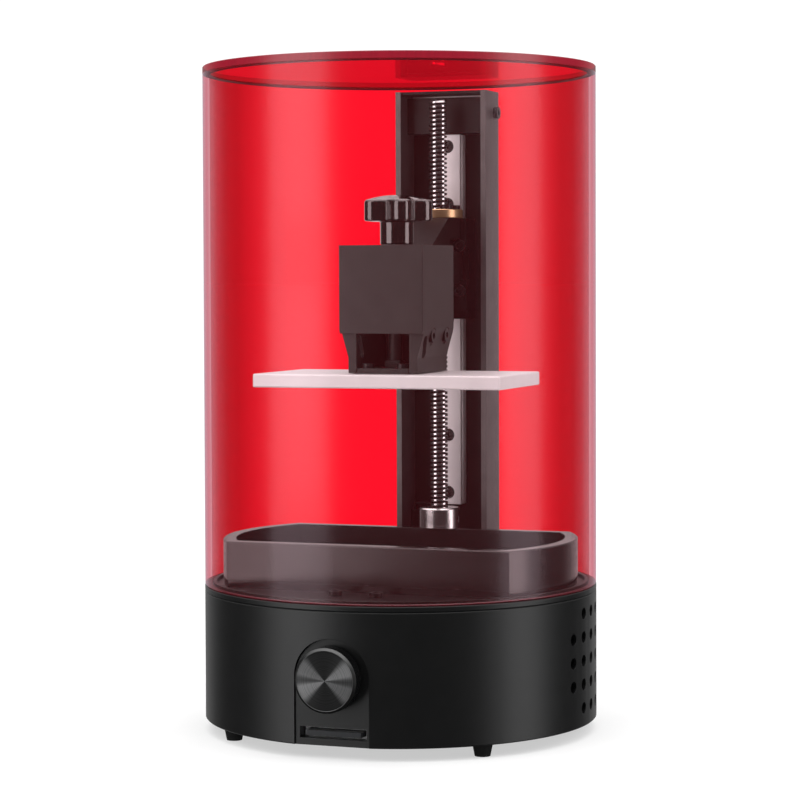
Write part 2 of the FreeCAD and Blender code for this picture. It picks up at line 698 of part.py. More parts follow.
def fan_rotor():
    z = (FAN_BOTTOM + 2.3, FAN_BOTTOM + 9.6)
    middle = (0.0, SCREEN_MIDDLE)
    centre = Vector(0, SCREEN_MIDDLE, (z[0] + z[1]) / 2)
    hub = post(9.0, z, middle)
    blades = []
    for number in range(FAN_BLADES):
        blade = block((8.0, FAN_BORE_RADIUS + 1.0), (-0.6, 0.6), (-4.2, 4.2))
        blade.rotate(Vector(0, 0, 0), X_AXIS, FAN_BLADE_TILT_DEG)
        blade.rotate(Vector(0, 0, 0), Z_AXIS, 360.0 * number / FAN_BLADES)
        blade.translate(centre)
        blades.append(blade)
    swept = post(FAN_BORE_RADIUS - 0.7, z, middle)
    rotor = join([hub] + [blade.common(swept) for blade in blades])
    return rotor.cut(post(AXLE_RADIUS + 0.05, (z[0] - OVERCUT, z[0] + 4.8), middle))


# ---------------------------------------------------------------- vat

def film_screw_places():
    places = [on_circle(FILM_SCREW_CIRCLE, degrees) for degrees in FILM_SCREW_DEGREES]
    inset = VAT_WALL / 2
    places += [(x, y) for x in FILM_SCREW_X for y in (VAT_FRONT + inset, VAT_BACK - inset)]
    return places


def vat_body():
    outside = flattened_disc(0.0, (VAT_BOTTOM, VAT_RIM))
    outer_rim = edges_at(outside, lambda box: box.ZMin > VAT_RIM - 0.1)
    outside = outside.makeChamfer(0.5, outer_rim)
    inside = flattened_disc(VAT_WALL, (VAT_BOTTOM - OVERCUT, VAT_RIM + OVERCUT))
    depth = (VAT_BOTTOM - OVERCUT, VAT_BOTTOM + 8.0)
    holes = [post(FILM_SCREW_RADIUS + 0.05, depth, place) for place in film_screw_places()]
    return cut_all(outside, [inside] + holes)


def vat_film():
    film = flattened_disc(0.4, (FILM_BOTTOM, VAT_BOTTOM))
    hole = FILM_SCREW_RADIUS + 0.1
    return cut_all(film, [post(hole, (DECK_TOP, VAT_RIM), place) for place in film_screw_places()])


def vat_ring():
    outside = flattened_disc(0.4, (DECK_TOP, FILM_BOTTOM))
    inside = flattened_disc(VAT_WALL, (DECK_TOP - OVERCUT, FILM_BOTTOM + OVERCUT))
    head_radius, head_height = FILM_SCREW_HEAD
    low = DECK_TOP - OVERCUT
    holes = []
    for place in film_screw_places():
        holes.append(post(FILM_SCREW_RADIUS + 0.1, (low, FILM_BOTTOM + OVERCUT), place))
        holes.append(post(head_radius + 0.15, (low, DECK_TOP + head_height + 0.2), place))
    return cut_all(outside, [inside] + holes)


def film_screws():
    head_radius, head_height = FILM_SCREW_HEAD
    head_bottom = DECK_TOP + 0.2
    head_top = head_bottom + head_height
    screws = []
    for place in film_screw_places():
        head = post(head_radius, (head_bottom, head_top), place)
        shank = post(FILM_SCREW_RADIUS, (head_top, VAT_BOTTOM + 7.0), place)
        screws.append(join([head, shank]))
    return screws


# ---------------------------------------------------------------- column

def rail_hole_heights():
    pitch = (RAIL_TOP - RAIL_BOTTOM - 2 * RAIL_END) / (RAIL_HOLES - 1)
    return [RAIL_BOTTOM + RAIL_END + pitch * number for number in range(RAIL_HOLES)]


def column_channel():
    half = COLUMN_HALF_WIDTH
    outside = block((-half, half), (COLUMN_FRONT, COLUMN_BACK), (DECK_TOP, COLUMN_TOP))
    corners = edges_at(outside, lambda box: box.YMin > COLUMN_BACK - 0.1 and box.ZLength > 1)
    outside = outside.makeFillet(COLUMN_CORNER, corners)
    inside = block((-CHANNEL_HALF_WIDTH, CHANNEL_HALF_WIDTH), (COLUMN_FRONT - OVERCUT, CHANNEL_BACK),
                   (DECK_TOP - OVERCUT, COLUMN_TOP + OVERCUT))
    across = (-half - OVERCUT, half + OVERCUT)
    holes = [rod_y(M3_HOLE_RADIUS, (CHANNEL_BACK - OVERCUT, COLUMN_BACK + OVERCUT), 0.0, height)
             for height in rail_hole_heights()]
    holes += [rod_x(M3_HOLE_RADIUS, across, y, z) for y, z in (TOP_SCREW, LOW_SCREW)]
    return cut_all(outside, [inside] + holes)


def column_brackets():
    thick = BRACKET_THICKNESS
    near = COLUMN_HALF_WIDTH
    upright = block((near, near + thick), BRACKET_Y, (DECK_TOP, DECK_TOP + BRACKET_HEIGHT))
    foot = block((near, near + BRACKET_WIDTH), BRACKET_Y, (DECK_TOP, DECK_TOP + thick))
    right = join([upright, foot])
    screw_x, screw_y = bracket_screw_places()[1]
    right = cut_all(right, [post(M3_HOLE_RADIUS, (0.0, DECK_TOP + 5.0), (screw_x, screw_y)),
                            rod_x(M3_HOLE_RADIUS, (near - OVERCUT, near + 5.0), *LOW_SCREW)])
    return [right, right.mirror(Vector(0, 0, 0), X_AXIS)]


def column_screws():
    seat = DECK_TOP + BRACKET_THICKNESS
    screws = [cap_screw_z(x, y, seat, 5.0) for x, y in bracket_screw_places()]
    low_seat = COLUMN_HALF_WIDTH + BRACKET_THICKNESS
    for side in (-1, 1):
        screws.append(cap_screw_x(side, TOP_SCREW[0], TOP_SCREW[1], COLUMN_HALF_WIDTH, 8.0))
        screws.append(cap_screw_x(side, LOW_SCREW[0], LOW_SCREW[1], low_seat, 5.6))
    return screws


def top_block():
    half = INSERT_HALF_WIDTH
    z = (TOP_BLOCK_BOTTOM, COLUMN_TOP - 2.4)
    body = block((-half, half), (TOP_BLOCK_FRONT, CHANNEL_BACK), z)
    across = (-half - OVERCUT, half + OVERCUT)
    return body.cut(rod_x(M3_RADIUS + 0.02, across, *TOP_SCREW))


def top_cap():
    half = INSERT_HALF_WIDTH
    y = (COLUMN_FRONT + 1.0, CHANNEL_BACK - 0.1)
    return block((-half, half), y, (COLUMN_TOP - 1.2, COLUMN_TOP))


def cap_seal():
    half = INSERT_HALF_WIDTH
    y = (CHANNEL_BACK - 1.8, CHANNEL_BACK)
    return block((-half, half), y, (COLUMN_TOP - 2.3, COLUMN_TOP - 1.3))


def linear_rail():
    half = RAIL_HALF_WIDTH
    rail = block((-half, half), (RAIL_FACE, CHANNEL_BACK), (RAIL_BOTTOM, RAIL_TOP))
    groove_radius, groove_y = RAIL_GROOVE
    whole = (RAIL_BOTTOM - OVERCUT, RAIL_TOP + OVERCUT)
    tools = [post(groove_radius, whole, (side * half, groove_y)) for side in (-1, 1)]
    for height in rail_hole_heights():
        tools.append(rod_y(M3_HEAD_RADIUS + 0.3, (RAIL_FACE - OVERCUT, RAIL_SEAT), 0.0, height))
        tools.append(rod_y(M3_HOLE_RADIUS, (RAIL_FACE, CHANNEL_BACK + OVERCUT), 0.0, height))
    return cut_all(rail, tools)


def rail_screws():
    length = COLUMN_BACK - RAIL_SEAT
    return [cap_screw_y(0.0, height, RAIL_SEAT, length) for height in rail_hole_heights()]


def limit_switch():
    case = block((-18.6, -9.0), (66.4, CHANNEL_BACK), (77.0, 88.0))
    lever = block((-17.6, -10.0), (67.0, 71.0), (90.6, 91.2))
    hinge = block((-17.6, -16.6), (67.0, 71.0), (88.0, 91.2))
    plunger = block((-13.0, -12.0), (68.5, 69.5), (87.5, 90.7))
    return join([case, hinge, lever, plunger])


# ---------------------------------------------------------------- Z drive

def stepper_motor():
    half = MOTOR_HALF_WIDTH

    middle = (0.0, SCREW_Y)

    def slab(inset, z):
        reach = half - inset
        piece = block((-reach, reach), (SCREW_Y - reach, SCREW_Y + reach), z)
        uprights = edges_at(piece, lambda box: box.ZLength > 0.5)
        return piece.makeChamfer(MOTOR_CORNER, uprights)

    waist = (MOTOR_BOTTOM + MOTOR_FLANGE, DECK_BOTTOM - MOTOR_FLANGE)
    body = join([slab(0.0, (MOTOR_BOTTOM, waist[0])), slab(0.6, waist), slab(0.0, (waist[1], DECK_BOTTOM)),
                 post(PILOT_RADIUS, (DECK_BOTTOM, DECK_TOP - 0.6), middle)])
    bore = post(MOTOR_SHAFT_RADIUS + SHAFT_CLEARANCE, (SHAFT_BOTTOM - 1.0, DECK_TOP + OVERCUT), middle)
    depth = (DECK_BOTTOM - 4.5, DECK_TOP)
    threads = [post(M3_RADIUS + 0.02, depth, place) for place in motor_screw_places()]
    return cut_all(body, [bore] + threads)


def motor_screws():
    return [countersunk(x, y, DECK_TOP, 6.5) for x, y in motor_screw_places()]


def motor_shaft():
    return post(MOTOR_SHAFT_RADIUS, (SHAFT_BOTTOM, SCREW_BOTTOM - 1.0), (0.0, SCREW_Y))


def lead_screw():
    screw = post(SCREW_RADIUS, (SCREW_BOTTOM, SCREW_TOP), (0.0, SCREW_Y))
    top = edges_at(screw, lambda box: box.ZMin > SCREW_TOP - 0.1)
    return screw.makeChamfer(0.8, top)


def shaft_coupler():
    body = post(COUPLER_RADIUS, (COUPLER_BOTTOM, COUPLER_TOP), (0.0, SCREW_Y))
    rims = edges_at(body, lambda box: box.ZLength < 0.01)
    body = body.makeChamfer(0.6, rims)
    tools = [post(MOTOR_SHAFT_RADIUS, (COUPLER_BOTTOM - OVERCUT, SCREW_BOTTOM), (0.0, SCREW_Y)),
             post(SCREW_RADIUS, (SCREW_BOTTOM - 0.01, COUPLER_TOP + OVERCUT), (0.0, SCREW_Y))]
    reach = (SCREW_RADIUS - 2.0, COUPLER_RADIUS + OVERCUT)
    for height in COUPLER_SCREW_HEIGHTS:
        tools.append(rod_x(COUPLER_SCREW_RADIUS, reach, SCREW_Y, height))
    return cut_all(body, tools)


def coupler_screws():
    screws = []
    for height, inner in zip(COUPLER_SCREW_HEIGHTS, (MOTOR_SHAFT_RADIUS, SCREW_RADIUS)):
        reach = (inner + 0.1, COUPLER_RADIUS - 0.4)
        screw = rod_x(COUPLER_SCREW_RADIUS - 0.02, reach, SCREW_Y, height)
        socket = rod_x(0.7, (COUPLER_RADIUS - 1.8, COUPLER_RADIUS), SCREW_Y, height)
        screws.append(screw.cut(socket))
    return screws


def nut_screw_places():
    return [on_circle(NUT_SCREW_CIRCLE, 45 + 90 * number, (0.0, SCREW_Y)) for number in range(4)]


def brass_nut():
    top = ARM_TOP + NUT_FLANGE_HEIGHT
    flange = post(NUT_FLANGE_RADIUS, (ARM_TOP, top), (0.0, SCREW_Y))
    rim = edges_at(flange, lambda box: box.ZLength < 0.01)
    flange = flange.makeChamfer(0.3, rim)
    barrel = post(NUT_BARREL_RADIUS, (ARM_TOP - NUT_BARREL_LENGTH, ARM_TOP), (0.0, SCREW_Y))
    bore = post(SCREW_RADIUS + SHAFT_CLEARANCE, (0.0, top + OVERCUT), (0.0, SCREW_Y))
    through = (ARM_TOP - OVERCUT, top + OVERCUT)
    holes = [post(M3_HOLE_RADIUS, through, place) for place in nut_screw_places()]
    return cut_all(join([flange, barrel]), [bore] + holes)


def nut_screws():
    return [cap_screw_z(x, y, ARM_TOP + NUT_FLANGE_HEIGHT, 10.0) for x, y in nut_screw_places()]


# ---------------------------------------------------------------- carriage and arm

def carriage_section(half_width, inset, z):
    outer = block((-half_width, half_width), (CARRIAGE_FACE + inset, CHANNEL_BACK - 3.0 - inset), z)
    gap = 0.35
    slot = block((-RAIL_HALF_WIDTH - gap, RAIL_HALF_WIDTH + gap), (RAIL_FACE - gap, CHANNEL_BACK),
                 (z[0] - OVERCUT, z[1] + OVERCUT))
    return outer.cut(slot)


def lug_screw_places():
    return [(side * LUG_SCREW_X, LUG_MIDDLE + step) for side in (-1, 1)
            for step in (-LUG_SCREW_OFFSET, LUG_SCREW_OFFSET)]


def rail_carriage():
    z = (CARRIAGE_BOTTOM + CARRIAGE_CAP, CARRIAGE_TOP - CARRIAGE_CAP)
    body = carriage_section(CARRIAGE_HALF_WIDTH, 0.0, z)
    depth = (CARRIAGE_FACE - OVERCUT, CARRIAGE_FACE + 4.0)
    holes = [rod_y(M3_RADIUS, depth, x, z) for x, z in lug_screw_places()]
    return cut_all(body, holes)


def carriage_end_caps():
    half = CARRIAGE_HALF_WIDTH - 0.4
    return [carriage_section(half, 0.3, (CARRIAGE_BOTTOM, CARRIAGE_BOTTOM + CARRIAGE_CAP)),
            carriage_section(half, 0.3, (CARRIAGE_TOP - CARRIAGE_CAP, CARRIAGE_TOP))]


def carriage_screws():
    return [cap_screw_y(x, z, ARM_FLANGE_FRONT, 7.5) for x, z in lug_screw_places()]


def arm_bracket():
    half = CARRIAGE_HALF_WIDTH
    flange = block((-half, half), (ARM_FLANGE_FRONT, CARRIAGE_FACE), (ARM_FLANGE_BOTTOM, ARM_TOP))
    through = (ARM_FLANGE_FRONT - OVERCUT, CARRIAGE_FACE + OVERCUT)
    for side in (-1, 1):
        reach = sorted((side * ARM_HALF_WIDTH, side * (half + OVERCUT)))
        flange = flange.cut(block(reach, through, ARM_NOTCH))
    side_view = [Vector(-ARM_HALF_WIDTH, HOUSING_BACK, ARM_BOTTOM),
                 Vector(-ARM_HALF_WIDTH, HOUSING_BACK, HOUSING_TOP),
                 Vector(-ARM_HALF_WIDTH, ARM_SLOPE_END, ARM_TOP),
                 Vector(-ARM_HALF_WIDTH, ARM_FLANGE_FRONT, ARM_TOP),
                 Vector(-ARM_HALF_WIDTH, ARM_FLANGE_FRONT, ARM_BOTTOM)]
    web = prism(side_view, Vector(2 * ARM_HALF_WIDTH, 0, 0))
    half_tongue = ARM_HALF_WIDTH - 0.1
    inner = block((-half_tongue, half_tongue), (TONGUE_FRONT, HOUSING_BACK), (TONGUE_BOTTOM, TONGUE_TOP))
    arm = join([flange, web, inner])
    tools = [post(NUT_BARREL_RADIUS + 0.05, (0.0, ARM_TOP + OVERCUT), (0.0, SCREW_Y)),
             post(STUD_RADIUS + SHAFT_CLEARANCE, (0.0, HOUSING_TOP), (0.0, CLAMP_Y))]
    nut_depth = (ARM_TOP - 8.0, ARM_TOP + OVERCUT)
    tools += [post(M3_RADIUS + 0.05, nut_depth, place) for place in nut_screw_places()]
    head_room = M3_HEAD_RADIUS + 0.3
    for x, z in lug_screw_places():
        tools.append(rod_y(M3_HOLE_RADIUS, through, x, z))
        tools.append(rod_y(head_room, (ARM_FLANGE_FRONT - 14.0, ARM_FLANGE_FRONT), x, z))
    return cut_all(arm, tools)


# ---------------------------------------------------------------- platform

def platform_housing():
    w = HOUSING_HALF_WIDTH
    front = HOUSING_FRONT
    bottom = PLATE_TOP + 0.3
    right = [(w, HOUSING_TOP), (w, SKIRT_SHOULDER), (SKIRT_OUTSIDE, SKIRT_FOOT), (SKIRT_OUTSIDE, bottom),
             (SKIRT_INSIDE, bottom), (SKIRT_INSIDE, HOUSING_BOTTOM)]
    outline = right + [(-x, z) for x, z in reversed(right)]
    housing = prism([Vector(x, front, z) for x, z in outline], Vector(0, HOUSING_BACK - front, 0))
    inside = SKIRT_INSIDE
    back = block((-inside, inside), (HOUSING_BACK - BACK_WALL, HOUSING_BACK), (bottom, HOUSING_BOTTOM))
    housing = join([housing, back])
    uprights = edges_at(housing, lambda box: box.ZLength > 30.0 and box.XLength < 0.1)
    housing = housing.makeChamfer(EDGE_BREAK, uprights)
    half = ARM_HALF_WIDTH + 0.2
    tongue_y = (TONGUE_FRONT - 0.5, HOUSING_BACK + OVERCUT)
    post_z = (HOUSING_BOTTOM - OVERCUT, HOUSING_BOTTOM + 6.0)
    tools = [block((-half, half), tongue_y, (TONGUE_BOTTOM - 0.2, TONGUE_TOP + 0.2)),
             block((-w, w), (front - OVERCUT, SKIRT_FRONT), (0.0, HOUSING_BOTTOM)),
             post(STUD_RADIUS + SHAFT_CLEARANCE, (TONGUE_TOP, HOUSING_TOP + OVERCUT), (0.0, CLAMP_Y)),
             post(LEVEL_POST_RADIUS + 0.05, post_z, (0.0, LEVEL_POST_Y))]
    for side in (-1, 1):
        reach = sorted((side * (w - SIDE_BOLT_SINK), side * (w + OVERCUT)))
        inner = sorted((side * (w - 10.0), side * w))
        for y in SIDE_BOLT_PLACES:
            tools.append(rod_x(3.5, reach, y, SIDE_BOLT_HEIGHT))
            tools.append(block(reach, (y - 1.5, y + 1.5), (SIDE_BOLT_HEIGHT - 8.0, SIDE_BOLT_HEIGHT)))
            tools.append(rod_x(2.0, inner, y, SIDE_BOLT_HEIGHT))
        tools.append(slanted_slot(side))
    return cut_all(housing, tools)


def slanted_slot(side):
    """The levelling slot near the front of each skirt, leaning back as it goes down."""
    radius = LEVEL_SLOT_WIDTH / 2
    high = Vector(0, *LEVEL_SLOT_HIGH)
    low = Vector(0, *LEVEL_SLOT_LOW)
    inner = SKIRT_INSIDE - OVERCUT
    reach = HOUSING_HALF_WIDTH + OVERCUT - inner
    start = inner if side > 0 else -inner - reach
    along = (low - high).normalize()
    across = X_AXIS.cross(along) * radius
    corners = [high - across, high + across, low + across, low - across]
    middle = prism([point + Vector(start, 0, 0) for point in corners], Vector(reach, 0, 0))
    ends = [rod_x(radius, (start, start + reach), point.y, point.z) for point in (high, low)]
    return join([middle] + ends)


def levelling_post():
    half = LEVEL_FOOT_HALF
    foot_top = PAD_TOP + LEVEL_FOOT_HEIGHT
    pillar = post(LEVEL_POST_RADIUS, (foot_top, HOUSING_BOTTOM + 5.8), (0.0, LEVEL_POST_Y))
    foot = block((-half, half), (LEVEL_POST_Y - half, LEVEL_POST_Y + half), (PAD_TOP, foot_top))
    return join([pillar, foot])


def plate_pad():
    half = SKIRT_INSIDE - 0.3
    pad = block((-half, half), PAD_Y, (PLATE_TOP, PAD_TOP))
    through = (PLATE_TOP - OVERCUT, PAD_TOP + OVERCUT)
    return cut_all(pad, [post(M3_HOLE_RADIUS, through, place) for place in PLATE_SCREWS])


def plate_screws():
    return [cap_screw_z(x, y, PAD_TOP, 6.5) for x, y in PLATE_SCREWS]


def side_bolts():
    seat = HOUSING_HALF_WIDTH - SIDE_BOLT_SINK
    return [cap_screw_x(side, y, SIDE_BOLT_HEIGHT, seat, 5.0, 3.1, 1.95)
            for side in (-1, 1) for y in SIDE_BOLT_PLACES]


def build_plate():
    y = (PLATE_MIDDLE - PLATE_DEPTH / 2, PLATE_MIDDLE + PLATE_DEPTH / 2)
    plate = block((-PLATE_LENGTH / 2, PLATE_LENGTH / 2), y, (PLATE_BOTTOM, PLATE_TOP))
    plate = plate.makeChamfer(0.5, plate.Edges)
    holes = [post(M3_RADIUS, (PLATE_TOP - 4.5, PLATE_TOP + OVERCUT), place) for place in PLATE_SCREWS]
    return cut_all(plate, holes)


# ---------------------------------------------------------------- clamp knob

def star_knob():
    z = (CLAMP_BOTTOM, CLAMP_TOP)
    middle = (0.0, CLAMP_Y)
    lobes = [post(CLAMP_CORE_RADIUS, z, middle)]
    for number in range(CLAMP_LOBES):
        degrees = CLAMP_FIRST_LOBE_DEG + 360.0 * number / CLAMP_LOBES
        place = on_circle(CLAMP_OUTER_RADIUS - CLAMP_LOBE_RADIUS, degrees, middle)
        lobes.append(post(CLAMP_LOBE_RADIUS, z, place))
    head = join(lobes)
    ball_radius = (CLAMP_OUTER_RADIUS ** 2 + CLAMP_CROWN ** 2) / (2 * CLAMP_CROWN)
    head = head.common(Part.makeSphere(ball_radius, Vector(0, CLAMP_Y, CLAMP_TOP - ball_radius)))
    knob = join([head, post(CLAMP_STEM_RADIUS, (HOUSING_TOP + 0.3, CLAMP_BOTTOM), middle)])
    return knob.cut(post(STUD_RADIUS, (HOUSING_TOP, CLAMP_BOTTOM + 6.0), middle))


def knob_stud():
    return post(STUD_RADIUS, (TONGUE_BOTTOM + 6.0, CLAMP_BOTTOM + 6.0), (0.0, CLAMP_Y))


# ---------------------------------------------------------------- cover

def cover_tube():
    low = DECK_TOP + COVER_GAP
    return tube(COVER_RADIUS, COVER_RADIUS - COVER_WALL, (low, COVER_TOP - COVER_WALL))


def cover_top():
    disc = post(COVER_RADIUS, (COVER_TOP - COVER_WALL, COVER_TOP))
    return disc.makeChamfer(EDGE_BREAK, edges_at(disc, lambda box: box.ZMin > COVER_TOP - 0.1))


SINGLE_PARTS = (
    base_shell, base_top_plate, base_bottom_plate, front_panel, control_knob, knob_shaft,
    encoder_body, encoder_plunger, sd_card, sd_socket, mainboard, dc_inlet, lcd_frame, lcd_panel,
    light_funnel, uv_lens, uv_led_board, heat_sink, fan_frame, fan_rotor, vat_body, vat_film,
    vat_ring, column_channel, top_block, top_cap, cap_seal, linear_rail, limit_switch,
    stepper_motor, motor_shaft, lead_screw, shaft_coupler, brass_nut, rail_carriage, arm_bracket,
    platform_housing, levelling_post, plate_pad, build_plate, star_knob, knob_stud, cover_tube,
    cover_top)
ALIKE_PARTS = (
    frame_posts, frame_screws, feet, board_standoffs, film_screws, column_brackets, column_screws,
    rail_screws, motor_screws, coupler_screws, nut_screws, carriage_end_caps, carriage_screws,
    plate_screws, side_bolts)


def main():
    os.makedirs("parts", exist_ok=True)
    for make in SINGLE_PARTS:
        save(make.__name__, [make()])
    for make in ALIKE_PARTS:
        save(make.__name__, make())


main()
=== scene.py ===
import json
import math

import bmesh
import bpy
from mathutils import Matrix, Vector


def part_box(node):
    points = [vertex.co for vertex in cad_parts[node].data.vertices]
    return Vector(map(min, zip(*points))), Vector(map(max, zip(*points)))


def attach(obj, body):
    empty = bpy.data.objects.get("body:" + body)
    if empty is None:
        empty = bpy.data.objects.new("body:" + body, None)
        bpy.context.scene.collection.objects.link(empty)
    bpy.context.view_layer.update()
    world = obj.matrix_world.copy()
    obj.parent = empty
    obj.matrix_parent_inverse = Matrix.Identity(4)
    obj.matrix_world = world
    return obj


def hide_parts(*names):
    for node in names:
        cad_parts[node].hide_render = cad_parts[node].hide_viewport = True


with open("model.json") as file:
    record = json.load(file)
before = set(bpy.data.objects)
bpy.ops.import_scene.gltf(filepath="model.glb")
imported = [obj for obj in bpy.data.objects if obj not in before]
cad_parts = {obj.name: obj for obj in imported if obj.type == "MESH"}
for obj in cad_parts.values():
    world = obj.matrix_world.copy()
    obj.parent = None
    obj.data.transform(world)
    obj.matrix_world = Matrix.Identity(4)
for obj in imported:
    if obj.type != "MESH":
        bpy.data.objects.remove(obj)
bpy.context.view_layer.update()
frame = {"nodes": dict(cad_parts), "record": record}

# The looks of a round desktop resin printer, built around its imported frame.  Metres, +Z up, -Y front.

NODES = frame["nodes"]
TAU = 2 * math.pi
QUARTER = math.pi / 2
MM = 0.001
SHARP_ANGLE = math.radians(35)
TINY = 1e-7
WHITE = (1.0, 1.0, 1.0)
NO_STRETCH = (1.0, 1.0, 1.0)
# Kept of a vector when its part along Z, or along Y, is left out
ACROSS_Z = (1.0, 1.0, 0.0)
ACROSS_Y = (1.0, 0.0, 1.0)

# Camera
CAMERA_AZIMUTH = math.radians(19.84)
CAMERA_DISTANCE = 1.0876
CAMERA_HEIGHT = 0.1957
CAMERA_PITCH = math.radians(-1.91)
CAMERA_ROLL = math.radians(-0.2)
CAMERA_LENS = 112.7
CAMERA_SHIFT = -0.05
CAMERA_CLIP = (0.05, 200.0)

# Studio
FLOOR_HALF = 60.0
FLOOR_TONES = ((0.84, 0.84, 0.84), (0.86, 0.86, 0.86))
FLOOR_WHITE = 0.85
FLOOR_GLOW = 0.5
FLOOR_BLOTCH = 60.0
BACKDROP = 1.1
ROOM_DARK = 0.055
ROOM_TOP = 2.3
ROOM_BACK = 0.6
# How far up, and how far round to the back, the room's light starts and is whole
ROOM_TOP_SPAN = (0.40, 0.95)
ROOM_BACK_SPAN = (0.64, 0.92)
STRIP_DISTANCE = 0.85
STRIP_HEIGHT = 0.26
STRIP_TALL = 1.10
# Angle from the camera, width and power of each strip
STRIPS = ((math.radians(-58), 0.56, 4.2), (math.radians(70), 0.42, 3.3))

# Clear red acrylic
# Tints from face on, 0, to edge on, 1
OUTER_TINTS = ((0.0, (0.97, 0.85, 0.87)), (0.50, (0.96, 0.80, 0.83)), (0.80, (0.62, 0.10, 0.14)),
               (1.0, (0.45, 0.06, 0.09)))
INNER_TINTS = ((0.0, (1.0, 0.003, 0.020)), (0.12, (1.0, 0.003, 0.020)), (0.48, (0.54, 0.001, 0.008)),
               (0.60, (0.53, 0.004, 0.012)), (0.73, (0.64, 0.035, 0.055)), (1.0, (0.90, 0.32, 0.36)))
LID_TINT = (1.0, 0.003, 0.020)
LID_ROUGHNESS = 0.03
SHEEN = (1.0, 0.86, 0.96)
HAZE_SHARE = 0.022
HAZE_RED = (0.9, 0.01, 0.03)
LIGHT_TINT = (1.0, 0.97, 0.97)
ACRYLIC_IOR = 1.49
# Strength and roughness of what each side of the wall mirrors
OUTER_GLOSS = (1.0, 0.25)
INNER_GLOSS = (0.35, 0.25)
RIM_TONES = ((0.10, 0.002, 0.012), (0.16, 0.004, 0.018))
RIM_TINT = (0.55, 0.01, 0.03)
RIM_SHARE = 0.6
RIM_STREAK = (1.0, 1.0, 0.1)
RIM_GRAIN = 1.5

# Cover
COVER_TURNS = 256
COVER_LIP = 0.3 * MM
SEAM_BEAD = 0.7 * MM
SEAM_GAP = 0.02 * MM

# Column: its channel is painted darker than its outside, as painted shade in the channel
COLUMN_GREY = (0.13, 0.124, 0.124)
CHANNEL_SHADE_TONES = ((0.010, 0.008, 0.008), (0.014, 0.011, 0.011))
CHANNEL_SHADE_BLOTCH = 8.0
CHANNEL_SHADE_EDGE = (-0.1 * MM, 0.05 * MM)

# Lead screw
SCREW_STEPS = 40
SCREW_PITCH = 2.0 * MM
SCREW_ROOT = 2.65 * MM
SCREW_TIP = 0.8 * MM
THREAD_FADE = 1.2 * MM
# One turn of the trapezoidal thread: share of the pitch, and share of the way from root to crest
THREAD_PROFILE = ((0.00, 0.0), (0.31, 0.0), (0.46, 1.0), (0.85, 1.0))
CREST = 2

# Clamp knob
CLAMP_TURNS = 200
CLAMP_LOBES = 5
CLAMP_FIRST_LOBE = math.radians(29.0)
CLAMP_LOBE = 15.4 * MM
CLAMP_VALLEY = 10.4 * MM
CLAMP_LOBE_POWER = 0.75
CLAMP_STEM = 7.4 * MM
CLAMP_STEM_EDGE = 0.5 * MM
CLAMP_STEM_FILLET = 0.6 * MM
CLAMP_STEM_HEIGHT = 10.2 * MM
CLAMP_LOW_ROUND = 0.8 * MM
CLAMP_LOW_STEPS = 4
CLAMP_TOP_ROUND = 1.6 * MM
CLAMP_TOP_STEPS = 6
CLAMP_CROWN = 2.0 * MM
CLAMP_CROWN_STEPS = 10

# Control knob
KNOB_TURNS = 160
KNOB_CHAMFER = 1.0 * MM
KNOB_BACK_EDGE = 0.4 * MM
KNOB_DISH = 0.15 * MM
KNOB_DISH_EDGE = 0.2 * MM
SPUN_PITCH = 0.35
SPUN_DETAIL = 4.0
SPUN_RELIEF = 0.004
SPUN_TONES = ((0.11, 0.11, 0.112), (0.21, 0.21, 0.212))
# Painted highlight and shade of the spun face: how bright it is painted from its level line, 0, to its
# upright line, 1
SPUN_PAINTED_HIGHLIGHT = ((0.0, 0.30), (0.10, 0.42), (0.24, 1.0), (0.62, 0.95), (0.80, 0.16), (1.0, 0.12))

# Circuit board
BOARD_CELL = 4.0
BOARD_GAP = 0.06
BOARD_RELIEF = 0.02
BOARD_GREENS = ((0.012, 0.10, 0.045), (0.014, 0.12, 0.05))
BOARD_TRACK = (0.03, 0.19, 0.08)

# All finishes.  Blotches and reliefs are in millimetres.
# Where most of a noise's values lie, and the swing that it gives to a roughness or a tone
NOISE_CORE = (0.3, 0.7)
SWING = (0.85, 1.15)
BROAD_BLOTCH = 9.0
FINE_DETAIL = 3.0
BEVEL_SAMPLES = 4
COAT_ROUGHNESS = 0.08
RIPPLE_SIZE = 6.0
RIPPLE_RELIEF = 0.01
CLEAR_ROUGHNESS = 0.12

